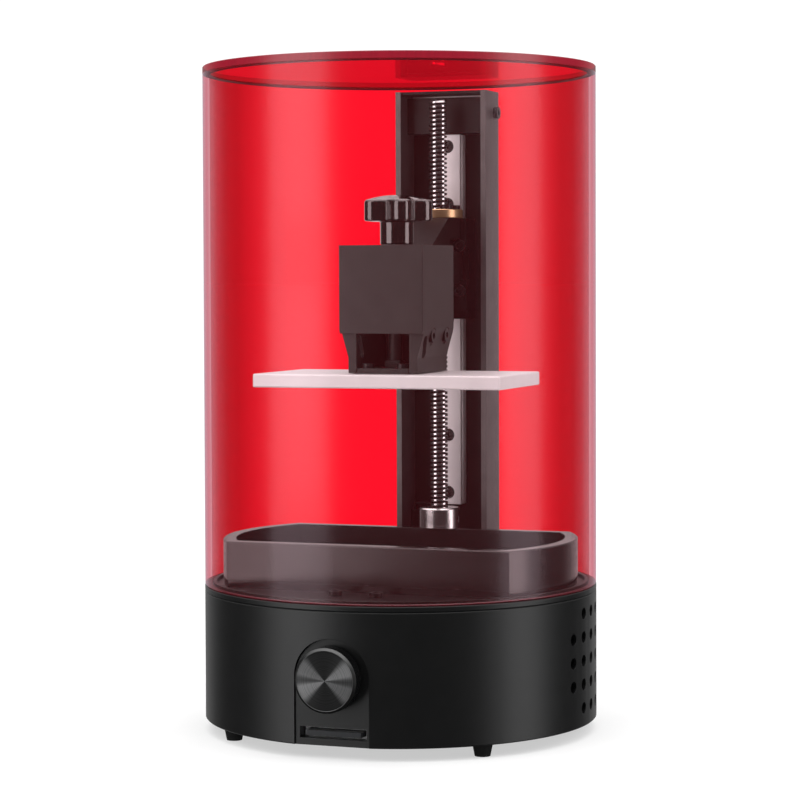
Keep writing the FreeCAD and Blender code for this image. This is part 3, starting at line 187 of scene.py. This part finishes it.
# Solid finishes, by slot or look: what surface() is told
SOLID_FINISHES = {
    "base_black": {"colour": (0.004, 0.004, 0.0042), "roughness": 0.40, "specular": 0.45,
                   "grain": 0.25, "relief": 0.006},
    "panel_black": {"colour": (0.005, 0.005, 0.0052), "roughness": 0.34, "specular": 0.45,
                    "grain": 0.3},
    "knob_black": {"colour": (0.02, 0.02, 0.021), "roughness": 0.25, "metal": 0.8, "grain": 0.2},
    "knob_rim": {"colour": (0.09, 0.09, 0.09), "roughness": 0.32, "metal": 1.0, "grain": 0.2,
                 "relief": 0.002},
    "arm_black": {"colour": (0.035, 0.033, 0.033), "roughness": 0.42, "metal": 0.3, "specular": 0.4,
                  "grain": 0.3, "relief": 0.006},
    "arm_dark": {"colour": (0.007, 0.006, 0.006), "roughness": 0.42, "specular": 0.15,
                 "grain": 0.3, "relief": 0.006},
    "vat_dark": {"colour": (0.066, 0.062, 0.063), "roughness": 0.21, "metal": 0.9, "grain": 1.0,
                 "relief": 0.001, "variation": 0.06, "streak": (0.02, 0.02, 1.0)},
    "plate_silver": {"colour": (0.76, 0.76, 0.77), "roughness": 0.45, "metal": 0.25,
                     "grain": 0.25, "relief": 0.006, "variation": 0.03},
    "steel_bright": {"colour": (0.95, 0.94, 0.95), "roughness": 0.45, "metal": 0.2, "grain": 0.3,
                     "relief": 0.003, "variation": 0.05, "streak": (1.0, 1.0, 0.03)},
    "screw_steel": {"colour": (0.75, 0.75, 0.76), "roughness": 0.16, "metal": 1.0, "grain": 0.2,
                    "relief": 0.001, "variation": 0.05, "edge": 0.05},
    # Lead screw flanks and grooves: a near-black steel that is painted shade between the crests.
    "groove_dark": {"colour": (0.03, 0.03, 0.032), "roughness": 0.35, "metal": 0.7, "grain": 0.2,
                    "relief": 0.002, "edge": 0.05},
    "fastener_black": {"colour": (0.02, 0.02, 0.021), "roughness": 0.30, "metal": 0.5,
                       "grain": 0.2, "relief": 0.003, "edge": 0.12},
    "fastener_steel": {"colour": (0.55, 0.55, 0.56), "roughness": 0.30, "metal": 1.0,
                       "grain": 0.2, "relief": 0.003, "edge": 0.12},
    "clamp_black": {"colour": (0.004, 0.004, 0.004), "roughness": 0.09, "specular": 1.0,
                    "coat": 1.0, "grain": 0.8, "relief": 0.002, "edge": 0.3},
    "plastic_black": {"colour": (0.012, 0.012, 0.013), "roughness": 0.5, "specular": 0.35,
                      "grain": 0.2, "relief": 0.01},
    "foot_rubber": {"colour": (0.008, 0.008, 0.008), "roughness": 0.75, "specular": 0.2,
                    "grain": 0.3, "relief": 0.02},
    "foam_pale": {"colour": (0.85, 0.82, 0.80), "roughness": 0.8, "grain": 0.3, "relief": 0.04},
    # cap_seal: a pale seal made near white so that it shows the bright line at the column's top; partly
    # its own colour, partly painted highlight.
    "seal_pale_painted_highlight": {"colour": (0.98, 0.97, 0.97), "roughness": 0.30, "metal": 0.3, "specular": 0.8,
                   "grain": 0.3, "relief": 0.001, "variation": 0.01, "edge": 0.05},
    "screen_glass": {"colour": (0.004, 0.004, 0.006), "roughness": 0.06, "specular": 0.6,
                     "grain": 2.0, "relief": 0.0005, "edge": 0.1},
    "sheet_silver": {"colour": (0.60, 0.60, 0.61), "roughness": 0.25, "metal": 1.0, "grain": 0.4,
                     "relief": 0.003, "streak": (0.05, 1.0, 1.0)},
    "motor_dark": {"colour": (0.03, 0.03, 0.033), "roughness": 0.45, "metal": 0.3, "grain": 0.3,
                   "relief": 0.008, "streak": (1.0, 1.0, 0.05)},
    "card_blue": {"colour": (0.004, 0.005, 0.008), "roughness": 0.35, "grain": 0.3},
}

# Finishes turned on a lathe, and clear ones
TURNED_FINISHES = {
    "coupler_silver": {"colour": (0.86, 0.85, 0.86), "roughness": 0.24, "metal": 1.0,
                       "pitch": 0.25, "relief": 0.002},
    "brass": {"colour": (0.78, 0.53, 0.30), "roughness": 0.30, "metal": 0.9, "pitch": 0.3,
              "relief": 0.003},
}
CLEAR_FINISHES = {
    "lens_clear": {"tint": (0.92, 0.95, 0.97), "share": 0.35},
    "film_clear": {"tint": (0.86, 0.88, 0.90), "share": 0.20},
}

# Nodes that don't look like the rest of their slot
SPECIAL_LOOKS = {"arm_bracket": "arm_dark", "rail_carriage": "arm_dark",
                 "carriage_end_caps": "arm_dark", "plate_screws": "fastener_black",
                 "frame_screws": "fastener_black", "cap_seal": "seal_pale_painted_highlight"}


# ---------------------------------------------------------------- shader helpers

def new_tree(name):
    """A material with an empty node tree, and its output."""
    material = bpy.data.materials.new(name)
    material.use_nodes = True
    tree = material.node_tree
    tree.nodes.clear()
    return material, tree, tree.nodes.new("ShaderNodeOutputMaterial")


def node(tree, kind, inputs=None, **settings):
    """A shader node.  inputs are values to set, or sockets to link from, by name or number."""
    made = tree.nodes.new(kind)
    for name, value in settings.items():
        setattr(made, name, value)
    for name, value in (inputs or {}).items():
        if isinstance(value, bpy.types.NodeSocket):
            tree.links.new(value, made.inputs[name])
        else:
            made.inputs[name].default_value = value
    return made


def rgba(colour):
    return (*colour, 1.0)


def scaled(colour, factor):
    return tuple(min(1.0, part * factor) for part in colour)


def place(tree, stretch=NO_STRETCH):
    """Where a point lies on its piece, stretched so that noise becomes streaks."""
    coordinates = node(tree, "ShaderNodeTexCoord").outputs["Object"]
    if stretch == NO_STRETCH:
        return coordinates
    return node(tree, "ShaderNodeMapping", {"Vector": coordinates, "Scale": stretch}).outputs[0]


def noise(tree, where, size, detail=2.0):
    """Noise whose blotches are about this many millimetres across."""
    inputs = {"Vector": where, "Scale": 1.0 / (size * MM), "Detail": detail}
    return node(tree, "ShaderNodeTexNoise", inputs).outputs["Fac"]


def spread(tree, value, low, high, start=NOISE_CORE[0], end=NOISE_CORE[1]):
    """value from start to end, turned into low to high."""
    inputs = {"Value": value, "From Min": start, "From Max": end, "To Min": low, "To Max": high}
    return node(tree, "ShaderNodeMapRange", inputs).outputs["Result"]


def ramp(tree, value, stops):
    """The colours of stops, blended along value from 0 to 1."""
    made = node(tree, "ShaderNodeValToRGB", {"Fac": value})
    elements = made.color_ramp.elements
    for position, _ in stops[1:-1]:
        elements.new(position)
    for element, (position, colour) in zip(elements, stops):
        element.position = position
        element.color = rgba(colour)
    return made.outputs["Color"]


def blend_colours(tree, value, first, second):
    """first and second, blended by a noise."""
    return ramp(tree, value, ((NOISE_CORE[0], first), (NOISE_CORE[1], second)))


def vector(tree, operation, first, second=None):
    """A sum on vectors."""
    inputs = {0: first} if second is None else {0: first, 1: second}
    return node(tree, "ShaderNodeVectorMath", inputs, operation=operation)


def from_line(tree, centre, across):
    """How a point lies from the line through centre, where across is 0 along the line."""
    moved = vector(tree, "SUBTRACT", place(tree), centre).outputs[0]
    return vector(tree, "MULTIPLY", moved, across).outputs[0]


def ring_noise(tree, away, pitch, detail):
    """Noise in rings about a line.  pitch is in millimetres."""
    far = vector(tree, "LENGTH", away).outputs["Value"]
    inputs = {"W": far, "Scale": 1 / (pitch * MM), "Detail": detail}
    return node(tree, "ShaderNodeTexNoise", inputs, noise_dimensions="1D").outputs["Fac"]


def relief_of(tree, height, distance, **inputs):
    """The normal of a fine relief whose height is in millimetres."""
    values = {"Height": height, "Distance": distance * MM, **inputs}
    return node(tree, "ShaderNodeBump", values).outputs["Normal"]


def principled(tree, **inputs):
    """A principled shader.  The names are its inputs, with _ for a space."""
    values = {name.replace("_", " "): value for name, value in inputs.items()}
    return node(tree, "ShaderNodeBsdfPrincipled", values).outputs["BSDF"]


def transparent(tree, colour):
    return node(tree, "ShaderNodeBsdfTransparent", {"Color": colour}).outputs[0]


def mixed(tree, share, first, second):
    """first where share is 0 and second where it is 1."""
    return node(tree, "ShaderNodeMixShader", {0: share, 1: first, 2: second}).outputs[0]


def show(tree, output, shader):
    tree.links.new(shader, output.inputs["Surface"])


# ---------------------------------------------------------------- materials

def surface(name, colour, roughness, metal=0.0, specular=0.5, grain=0.4, relief=0.004,
            variation=0.12, streak=NO_STRETCH, coat=0.0, edge=0.25):
    """A solid finish: colour and roughness that wander a little, a fine relief, and softened edges.

    grain is the relief's size and relief its height, both in millimetres.  edge is the radius, in
    millimetres, to which sharp corners look rounded.  coat is the share of a clear coat."""
    material, tree, output = new_tree(name)
    fine = noise(tree, place(tree, streak), grain, FINE_DETAIL)
    broad = noise(tree, place(tree), BROAD_BLOTCH)
    tone = blend_colours(tree, broad, scaled(colour, 1 - variation), scaled(colour, 1 + variation))
    rounded = node(tree, "ShaderNodeBevel", {"Radius": edge * MM}, samples=BEVEL_SAMPLES)
    show(tree, output, principled(
        tree, Base_Color=tone, Metallic=metal, Specular_IOR_Level=specular,
        Roughness=spread(tree, fine, roughness * SWING[0], roughness * SWING[1]),
        Coat_Weight=coat, Coat_Roughness=COAT_ROUGHNESS,
        Normal=relief_of(tree, fine, relief, Normal=rounded.outputs["Normal"])))
    return material


def turned(name, colour, roughness, metal, pitch, relief):
    """Metal turned on a lathe about the lead screw's line."""
    material, tree, output = new_tree(name)
    rings = ring_noise(tree, from_line(tree, screw_axis(), ACROSS_Z), pitch, FINE_DETAIL)
    tone = blend_colours(tree, rings, scaled(colour, SWING[0]), scaled(colour, SWING[1]))
    show(tree, output, principled(tree, Base_Color=tone, Roughness=roughness, Metallic=metal,
                                  Normal=relief_of(tree, rings, relief)))
    return material


def clear_plastic(name, tint, share):
    """A clear, slightly glossy sheet or lens."""
    material, tree, output = new_tree(name)
    ripple = relief_of(tree, noise(tree, place(tree), RIPPLE_SIZE), RIPPLE_RELIEF)
    gloss = principled(tree, Base_Color=rgba(scaled(tint, 0.5)), Roughness=CLEAR_ROUGHNESS,
                       Normal=ripple)
    show(tree, output, mixed(tree, share, transparent(tree, rgba(tint)), gloss))
    return material


def board_finish():
    """Green solder mask over thin copper tracks."""
    material, tree, output = new_tree("board_green")
    cells = node(tree, "ShaderNodeTexBrick", {
        "Vector": place(tree), "Scale": 1 / (BOARD_CELL * MM), "Mortar Size": BOARD_GAP,
        "Color1": rgba(BOARD_GREENS[0]), "Color2": rgba(BOARD_GREENS[1]),
        "Mortar": rgba(BOARD_TRACK)})
    show(tree, output, principled(tree, Base_Color=cells.outputs["Color"], Roughness=0.35,
                                  Normal=relief_of(tree, cells.outputs["Fac"], BOARD_RELIEF)))
    return material


def column_finish():
    """Grey brushed metal outside, and inside the channel, which is where |X| is small, a near-black
    tone that is painted shade.
    """
    material = surface("column_grey", COLUMN_GREY, 0.36, metal=0.6, grain=0.35, relief=0.006,
                       streak=(1.0, 1.0, 0.02))
    tree = material.node_tree
    output = next(part for part in tree.nodes if part.type == "OUTPUT_MATERIAL")
    grey = output.inputs["Surface"].links[0].from_socket
    # Painted shade: the channel's inside gets a near-black tone in place of the shade that falls there.
    tone = blend_colours(tree, noise(tree, place(tree), CHANNEL_SHADE_BLOTCH), *CHANNEL_SHADE_TONES)
    dark = principled(tree, Base_Color=tone, Roughness=0.4, Specular_IOR_Level=0.3)
    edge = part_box("top_block")[1].x
    across = node(tree, "ShaderNodeSeparateXYZ", {0: place(tree)}).outputs["X"]
    away = node(tree, "ShaderNodeMath", {0: across}, operation="ABSOLUTE").outputs[0]
    outside = spread(tree, away, 0.0, 1.0, edge + CHANNEL_SHADE_EDGE[0], edge + CHANNEL_SHADE_EDGE[1])
    show(tree, output, mixed(tree, outside, dark, grey))
    return material


def finishes():
    """Every finish that a CAD node or a new piece wears, by name."""
    looks = {name: surface(name, **settings) for name, settings in SOLID_FINISHES.items()}
    looks["column_grey"] = column_finish()
    for make, table in ((turned, TURNED_FINISHES), (clear_plastic, CLEAR_FINISHES)):
        looks.update({name: make(name, **settings) for name, settings in table.items()})
    looks["board_green"] = board_finish()
    return looks


def dress_nodes(looks):
    """Every CAD node gets the finish of its slot in the record, or its special look."""
    for row in frame["record"]["subparts"]:
        look = SPECIAL_LOOKS.get(row["node"], row["material_slot"])
        if look not in looks:
            continue
        piece = NODES[row["node"]]
        piece.data.materials.clear()
        piece.data.materials.append(looks[look])


# ---------------------------------------------------------------- red acrylic

def one_sided(tree, output, front):
    """The camera sees front from its own side only.  Light, and a look from behind, pass through."""
    back = node(tree, "ShaderNodeNewGeometry").outputs["Backfacing"]
    seen = mixed(tree, back, front, transparent(tree, rgba(WHITE)))
    camera = node(tree, "ShaderNodeLightPath").outputs["Is Camera Ray"]
    show(tree, output, mixed(tree, camera, transparent(tree, rgba(LIGHT_TINT)), seen))


def glossy(tree, colour, roughness):
    inputs = {"Color": rgba(colour), "Roughness": roughness}
    return node(tree, "ShaderNodeBsdfGlossy", inputs).outputs[0]


def acrylic_fresnel(tree):
    return node(tree, "ShaderNodeFresnel", {"IOR": ACRYLIC_IOR}).outputs[0]


def red_acrylic(name, tints, gloss, haze):
    """One face of the wall.  Each face colours only what is seen in through it."""
    material, tree, output = new_tree(name)
    facing = node(tree, "ShaderNodeLayerWeight", {"Blend": 0.5}).outputs["Facing"]
    clear = transparent(tree, ramp(tree, facing, tints))
    smoke = node(tree, "ShaderNodeBsdfDiffuse", {"Color": rgba(HAZE_RED)}).outputs[0]
    strength, roughness = gloss
    share = node(tree, "ShaderNodeMath", {0: acrylic_fresnel(tree), 1: strength},
                 operation="MULTIPLY").outputs[0]
    body = mixed(tree, haze, clear, smoke)
    one_sided(tree, output, mixed(tree, share, body, glossy(tree, SHEEN, roughness)))
    return material


def red_underside():
    """The lid's lower face, seen at a low angle, so that it mirrors the column and the back wall."""
    material, tree, output = new_tree("red_underside")
    clear = transparent(tree, rgba(LID_TINT))
    mirror = glossy(tree, LID_TINT, LID_ROUGHNESS)
    one_sided(tree, output, mixed(tree, acrylic_fresnel(tree), clear, mirror))
    return material


def red_rim():
    """The cut edge of the acrylic, where light piles up into a dark red."""
    material, tree, output = new_tree("red_rim")
    streaks = noise(tree, place(tree, RIM_STREAK), RIM_GRAIN, FINE_DETAIL)
    solid = principled(tree, Base_Color=blend_colours(tree, streaks, *RIM_TONES), Roughness=0.3,
                       Specular_IOR_Level=1.0)
    show(tree, output, mixed(tree, RIM_SHARE, transparent(tree, rgba(RIM_TINT)), solid))
    return material


# ---------------------------------------------------------------- mesh helpers

def middle(name):
    low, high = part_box(name)
    return (low + high) / 2


def middle_width(name):
    low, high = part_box(name)
    return high.x - low.x


def screw_axis():
    centre = middle("lead_screw")
    return (centre.x, centre.y, 0.0)


def add_piece(name, mesh, materials, body, replaced=()):
    """Put a finished mesh in the scene on its body."""
    mesh.validate()
    piece = bpy.data.objects.new(name, mesh)
    bpy.context.scene.collection.objects.link(piece)
    for material in materials:
        mesh.materials.append(material)
    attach(piece, body)
    if replaced:
        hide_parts(*replaced)
    return piece


def finished(name, mesh):
    """A mesh from its builder, with its corners kept sharp."""
    bmesh.ops.recalc_face_normals(mesh, faces=mesh.faces)
    data = bpy.data.meshes.new(name)
    mesh.to_mesh(data)
    mesh.free()
    data.set_sharp_from_angle(angle=SHARP_ANGLE)
    return data


def lathe_row(mesh, centre, height, radii):
    """A ring of corners at one height, or a single one where the radius is nothing."""
    if radii[0] < TINY:
        return [mesh.verts.new((centre[0], centre[1], height))]
    row = []
    for turn, radius in enumerate(radii):
        angle = TAU * turn / len(radii)
        row.append(mesh.verts.new((centre[0] + radius * math.sin(angle),
                                   centre[1] - radius * math.cos(angle), height)))
    return row


def join_rows(mesh, low, high, material, smooth):
    """Faces between two rows."""
    turns = max(len(low), len(high))
    for turn in range(turns):
        after = (turn + 1) % turns
        corners = [low[turn], low[after]] if len(low) > 1 else [low[0]]
        corners += [high[after], high[turn]] if len(high) > 1 else [high[0]]
        face = mesh.faces.new(corners)
        face.material_index = material
        face.smooth = smooth


def lathe(name, profile, turns, centre=(0.0, 0.0), shape=None):
    """A closed body turned about an upright axis.

    profile is (radius, height, material, smooth) from the bottom's middle, round the outside, to
    the top's middle or back to its start.  shape scales the radius by angle and profile place."""
    mesh = bmesh.new()
    rows = []
    for index, (radius, height, _, _) in enumerate(profile):
        radii = [radius] * turns
        if shape:
            radii = [shape(TAU * turn / turns, index, radius) for turn in range(turns)]
        rows.append(lathe_row(mesh, centre, height, radii))
    pairs = list(zip(rows, rows[1:], profile[1:]))
    if len(rows[0]) > 1 and len(rows[-1]) > 1:
        pairs.append((rows[-1], rows[0], profile[0]))
    for low, high, (_, _, material, smooth) in pairs:
        join_rows(mesh, low, high, material, smooth)
    return finished(name, mesh)


# ---------------------------------------------------------------- cover

def wall_profile(inner, outer, bottom, top):
    return [(inner, bottom + COVER_LIP, 1, True), (inner + COVER_LIP, bottom, 2, False),
            (outer - COVER_LIP, bottom, 2, False), (outer, bottom + COVER_LIP, 2, True),
            (outer, top, 0, True), (inner, top, 2, False)]


def lid_profile(inner, outer, bottom, top):
    return [(0.0, bottom, 1, False), (inner, bottom, 1, False), (outer, bottom, 2, False),
            (outer, top - COVER_LIP, 2, True), (outer - COVER_LIP, top, 2, True),
            (0.0, top, 0, False)]


def seam_profile(inner, ceiling):
    """A bead of glue in the corner between the wall and the lid."""
    return [(inner - SEAM_BEAD, ceiling - SEAM_GAP, 0, True),
            (inner - SEAM_GAP, ceiling - SEAM_BEAD, 0, True),
            (inner - SEAM_GAP, ceiling - SEAM_GAP, 0, True)]


def build_cover():
    low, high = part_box("cover_tube")
    lid_low, lid_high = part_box("cover_top")
    outer = high.x
    inner = outer - (lid_high.z - lid_low.z)
    outside = red_acrylic("red_outside", OUTER_TINTS, OUTER_GLOSS, HAZE_SHARE)
    inside = red_acrylic("red_inside", INNER_TINTS, INNER_GLOSS, 0.0)
    rim = red_rim()
    parts = (("cover_wall", wall_profile(inner, outer, low.z, high.z), (outside, inside, rim),
              ("cover_tube",)),
             ("cover_lid", lid_profile(inner, outer, lid_low.z, lid_high.z),
              (outside, red_underside(), rim), ("cover_top",)),
             ("cover_seam", seam_profile(inner, lid_low.z), (rim,), ()))
    for name, profile, materials, replaced in parts:
        mesh = lathe(name, profile, COVER_TURNS)
        add_piece(name, mesh, materials, "cover", replaced)


# ---------------------------------------------------------------- lead screw

def thread_column(mesh, step, low, high):
    """The thread's corners at one angle, from the bottom up."""
    crest = (high.x - low.x) / 2
    centre = (low + high) / 2
    angle = TAU * step / SCREW_STEPS
    column = []
    for turn in range(int((high.z - low.z) / SCREW_PITCH) + 2):
        for share, rise in THREAD_PROFILE:
            height = low.z + (turn + step / SCREW_STEPS + share - 1.0) * SCREW_PITCH
            height = min(max(height, low.z), high.z)
            shown = min(1.0, (height - low.z) / THREAD_FADE, (high.z - height) / THREAD_FADE)
            far = SCREW_ROOT + (crest - SCREW_ROOT) * rise * max(0.0, shown)
            far = min(far, crest - max(0.0, SCREW_TIP - (high.z - height)))
            column.append(mesh.verts.new((centre.x + far * math.sin(angle),
                                          centre.y - far * math.cos(angle), height)))
    return column


def join_columns(mesh, columns):
    """Faces between the thread's columns: steel on the crests, and a dark finish on the flanks and in
    the grooves that is painted shade.
    """
    for step, here in enumerate(columns):
        # The last column joins the first one, one whole turn further up.
        climb = len(THREAD_PROFILE) if step == len(columns) - 1 else 0
        there = columns[(step + 1) % len(columns)]
        for index in range(len(here) - 1 - climb):
            face = mesh.faces.new((here[index], there[index + climb], there[index + climb + 1],
                                   here[index + 1]))
            # Crest faces get steel; all other faces get the painted shade finish.
            face.material_index = 0 if index % len(THREAD_PROFILE) == CREST else 1


def build_lead_screw(looks):
    low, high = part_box("lead_screw")
    mesh = bmesh.new()
    join_columns(mesh, [thread_column(mesh, step, low, high) for step in range(SCREW_STEPS)])
    bmesh.ops.remove_doubles(mesh, verts=mesh.verts, dist=TINY)
    bmesh.ops.dissolve_degenerate(mesh, edges=mesh.edges, dist=TINY)
    bmesh.ops.holes_fill(mesh, edges=[edge for edge in mesh.edges if edge.is_boundary])
    for face in mesh.faces:
        face.smooth = True
    add_piece("lead_screw_thread", finished("lead_screw_thread", mesh),
              (looks["screw_steel"], looks["groove_dark"]), "screw", ("lead_screw",))


# ---------------------------------------------------------------- clamp knob

def stem_profile(bottom, bore, bore_top):
    """From the top of the stud's bore, down and round the stem, to the underside of the head."""
    head = bottom + CLAMP_STEM_HEIGHT
    return [(0.0, bore_top, 0, False), (bore, bore_top, 0, False), (bore, bottom, 0, False),
            (CLAMP_STEM - CLAMP_STEM_EDGE, bottom, 0, False),
            (CLAMP_STEM, bottom + CLAMP_STEM_EDGE, 0, True),
            (CLAMP_STEM, head - CLAMP_STEM_FILLET, 0, True),
            (CLAMP_STEM + CLAMP_STEM_FILLET, head, 0, True)]


def head_profile(head, top):
    """Round the head: its lower edge, its upper edge and its crown."""
    rows = []
    for step in range(CLAMP_LOW_STEPS + 1):
        turn = QUARTER * step / CLAMP_LOW_STEPS
        rows.append((CLAMP_LOBE - CLAMP_LOW_ROUND * (1 - math.sin(turn)),
                     head + CLAMP_LOW_ROUND * (1 - math.cos(turn)), 0, True))
    rim = top - CLAMP_CROWN
    for step in range(CLAMP_TOP_STEPS + 1):
        turn = QUARTER * step / CLAMP_TOP_STEPS
        rows.append((CLAMP_LOBE - CLAMP_TOP_ROUND * (1 - math.cos(turn)),
                     rim - CLAMP_TOP_ROUND * (1 - math.sin(turn)), 0, True))
    for step in range(1, CLAMP_CROWN_STEPS):
        share = 1 - step / CLAMP_CROWN_STEPS
        rows.append(((CLAMP_LOBE - CLAMP_TOP_ROUND) * share, rim + CLAMP_CROWN * (1 - share ** 2),
                     0, True))
    return rows


def lobe_share(angle):
    """How far the head reaches at an angle, as a share of its reach at a lobe."""
    wave = (1 + math.cos(CLAMP_LOBES * (angle - CLAMP_FIRST_LOBE))) / 2
    return (CLAMP_VALLEY + (CLAMP_LOBE - CLAMP_VALLEY) * wave ** CLAMP_LOBE_POWER) / CLAMP_LOBE


def build_clamp_knob(looks):
    low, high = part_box("star_knob")
    stud = middle("knob_stud")
    stem = stem_profile(low.z, middle_width("knob_stud") / 2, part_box("knob_stud")[1].z)
    head = head_profile(low.z + CLAMP_STEM_HEIGHT, high.z)
    head_rows = range(len(stem), len(stem) + len(head))

    def lobed(angle, index, radius):
        """The head's rows follow the lobes; the stem's stay round."""
        return radius * lobe_share(angle) if index in head_rows else radius

    mesh = lathe("clamp_knob", stem + head + [(0.0, high.z, 0, True)], CLAMP_TURNS,
                 (stud.x, stud.y), lobed)
    add_piece("clamp_knob", mesh, (looks["clamp_black"],), "clamp", ("star_knob",))


# ---------------------------------------------------------------- control knob

def painted_highlight_fan(tree, away):
    """Painted highlight and shade: the bright and dark wedges that lamps make on a spun face, painted
    into its colour.
    """
    direction = vector(tree, "NORMALIZE", away).outputs[0]
    rise = node(tree, "ShaderNodeSeparateXYZ", {0: direction}).outputs["Z"]
    steep = node(tree, "ShaderNodeMath", {0: rise}, operation="ABSOLUTE").outputs[0]
    return ramp(tree, steep, [(position, (shade,) * 3) for position, shade in SPUN_PAINTED_HIGHLIGHT])


def spun_face():
    """The knob's face, turned in fine rings, so that light fans out from its middle; the fan of wedges
    is also painted into its colour as painted highlight and shade.
    """
    material, tree, output = new_tree("spun_face")
    away = from_line(tree, tuple(middle("control_knob")), ACROSS_Y)
    rings = ring_noise(tree, away, SPUN_PITCH, SPUN_DETAIL)
    tone = blend_colours(tree, rings, *SPUN_TONES)
    tangent = node(tree, "ShaderNodeTangent", direction_type="RADIAL", axis="Y").outputs[0]
    # Painted highlight: the base colour is multiplied by the painted fan of bright and dark wedges.
    show(tree, output, principled(
        tree, Roughness=0.34, Metallic=1.0, Anisotropic=0.92, Tangent=tangent,
        Base_Color=vector(tree, "MULTIPLY", tone, painted_highlight_fan(tree, away)).outputs[0],
        Normal=relief_of(tree, rings, SPUN_RELIEF)))
    return material


def knob_profile(radius, deep, bore, bore_top):
    """From the shaft's bore, round the back and the side, to the middle of the dished face."""
    flat = deep - KNOB_DISH
    return [(0.0, bore_top, 1, False), (bore, bore_top, 1, False), (bore, 0.0, 1, False),
            (radius - KNOB_BACK_EDGE, 0.0, 1, False), (radius, KNOB_BACK_EDGE, 1, False),
            (radius, deep - KNOB_CHAMFER, 1, True), (radius - KNOB_CHAMFER, deep, 2, False),
            (radius - KNOB_CHAMFER - KNOB_DISH_EDGE, flat, 2, False), (0.0, flat, 0, False)]


def build_control_knob(looks):
    low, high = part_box("control_knob")
    centre = middle("control_knob")
    profile = knob_profile((high.x - low.x) / 2, high.y - low.y, middle_width("knob_shaft") / 2,
                           high.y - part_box("knob_shaft")[0].y)
    mesh = lathe("spin_knob", profile, KNOB_TURNS)
    forward = Matrix.Rotation(QUARTER, 4, "X")
    mesh.transform(Matrix.Translation((centre.x, high.y, centre.z)) @ forward)
    add_piece("spin_knob", mesh, (spun_face(), looks["knob_black"], looks["knob_rim"]), "knob",
              ("control_knob",))


# ---------------------------------------------------------------- studio

def build_camera():
    camera = bpy.data.objects.new("camera", bpy.data.cameras.new("camera"))
    bpy.context.scene.collection.objects.link(camera)
    camera.data.lens = CAMERA_LENS
    camera.data.shift_y = CAMERA_SHIFT
    camera.data.clip_start, camera.data.clip_end = CAMERA_CLIP
    spot = Vector((CAMERA_DISTANCE * math.sin(CAMERA_AZIMUTH),
                   -CAMERA_DISTANCE * math.cos(CAMERA_AZIMUTH), CAMERA_HEIGHT))
    turn = Matrix.Rotation(CAMERA_AZIMUTH, 4, "Z")
    tilt = Matrix.Rotation(QUARTER + CAMERA_PITCH, 4, "X")
    roll = Matrix.Rotation(CAMERA_ROLL, 4, "Z")
    camera.matrix_world = Matrix.Translation(spot) @ turn @ tilt @ roll
    bpy.context.scene.camera = camera


def room_light(tree):
    """Brighter overhead and behind the object."""
    direction = node(tree, "ShaderNodeTexCoord").outputs["Generated"]
    up = node(tree, "ShaderNodeSeparateXYZ", {0: direction}).outputs["Z"]
    back = (-math.sin(CAMERA_AZIMUTH), math.cos(CAMERA_AZIMUTH), 0.0)
    along = vector(tree, "DOT_PRODUCT", direction, back).outputs["Value"]
    above = spread(tree, up, 0.0, ROOM_TOP, *ROOM_TOP_SPAN)
    behind = spread(tree, along, ROOM_DARK, ROOM_BACK, *ROOM_BACK_SPAN)
    return node(tree, "ShaderNodeMath", {0: above, 1: behind}, operation="ADD").outputs[0]


def build_room():
    """A white backdrop, and a darker room that lights the object and mirrors in it."""
    world = bpy.data.worlds.new("studio")
    bpy.context.scene.world = world
    world.use_nodes = True
    tree = world.node_tree
    tree.nodes.clear()
    seen = node(tree, "ShaderNodeLightPath").outputs["Is Camera Ray"]
    room, white = (node(tree, "ShaderNodeBackground", {"Color": rgba(WHITE), "Strength": strength})
                   for strength in (room_light(tree), BACKDROP))
    output = node(tree, "ShaderNodeOutputWorld")
    show(tree, output, mixed(tree, seen, room.outputs[0], white.outputs[0]))


def build_strips():
    """Two upright softboxes, left and right of the camera."""
    for offset, wide, power in STRIPS:
        angle = CAMERA_AZIMUTH + offset
        light = bpy.data.lights.new("strip", "AREA")
        light.shape = "RECTANGLE"
        light.size = wide
        light.size_y = STRIP_TALL
        light.energy = power
        lamp = bpy.data.objects.new("strip", light)
        bpy.context.scene.collection.objects.link(lamp)
        spot = Vector((STRIP_DISTANCE * math.sin(angle), -STRIP_DISTANCE * math.cos(angle),
                       STRIP_HEIGHT))
        lamp.matrix_world = (Matrix.Translation(spot) @ Matrix.Rotation(angle, 4, "Z")
                             @ Matrix.Rotation(QUARTER, 4, "X"))
        lamp.visible_camera = False


def floor_finish():
    """A pale floor that is half lit and half its own light, so that the shadow on it is faint."""
    material, tree, output = new_tree("pale_floor")
    tone = blend_colours(tree, noise(tree, place(tree), FLOOR_BLOTCH), *FLOOR_TONES)
    lit = node(tree, "ShaderNodeBsdfDiffuse", {"Color": tone}).outputs[0]
    glow = node(tree, "ShaderNodeEmission", {"Color": tone, "Strength": BACKDROP / FLOOR_WHITE})
    show(tree, output, mixed(tree, FLOOR_GLOW, lit, glow.outputs[0]))
    return material


def build_floor():
    data = bpy.data.meshes.new("floor")
    corners = [(x * FLOOR_HALF, y * FLOOR_HALF, 0) for x, y in ((-1, -1), (1, -1), (1, 1), (-1, 1))]
    data.from_pydata(corners, [], [(0, 1, 2, 3)])
    data.materials.append(floor_finish())
    floor = bpy.data.objects.new("floor", data)
    bpy.context.scene.collection.objects.link(floor)
    floor.visible_glossy = False


build_camera()
build_room()
build_strips()
build_floor()
bpy.context.scene.view_settings.view_transform = "Standard"
LOOKS = finishes()
dress_nodes(LOOKS)
build_cover()
build_lead_screw(LOOKS)
build_clamp_knob(LOOKS)
build_control_knob(LOOKS)
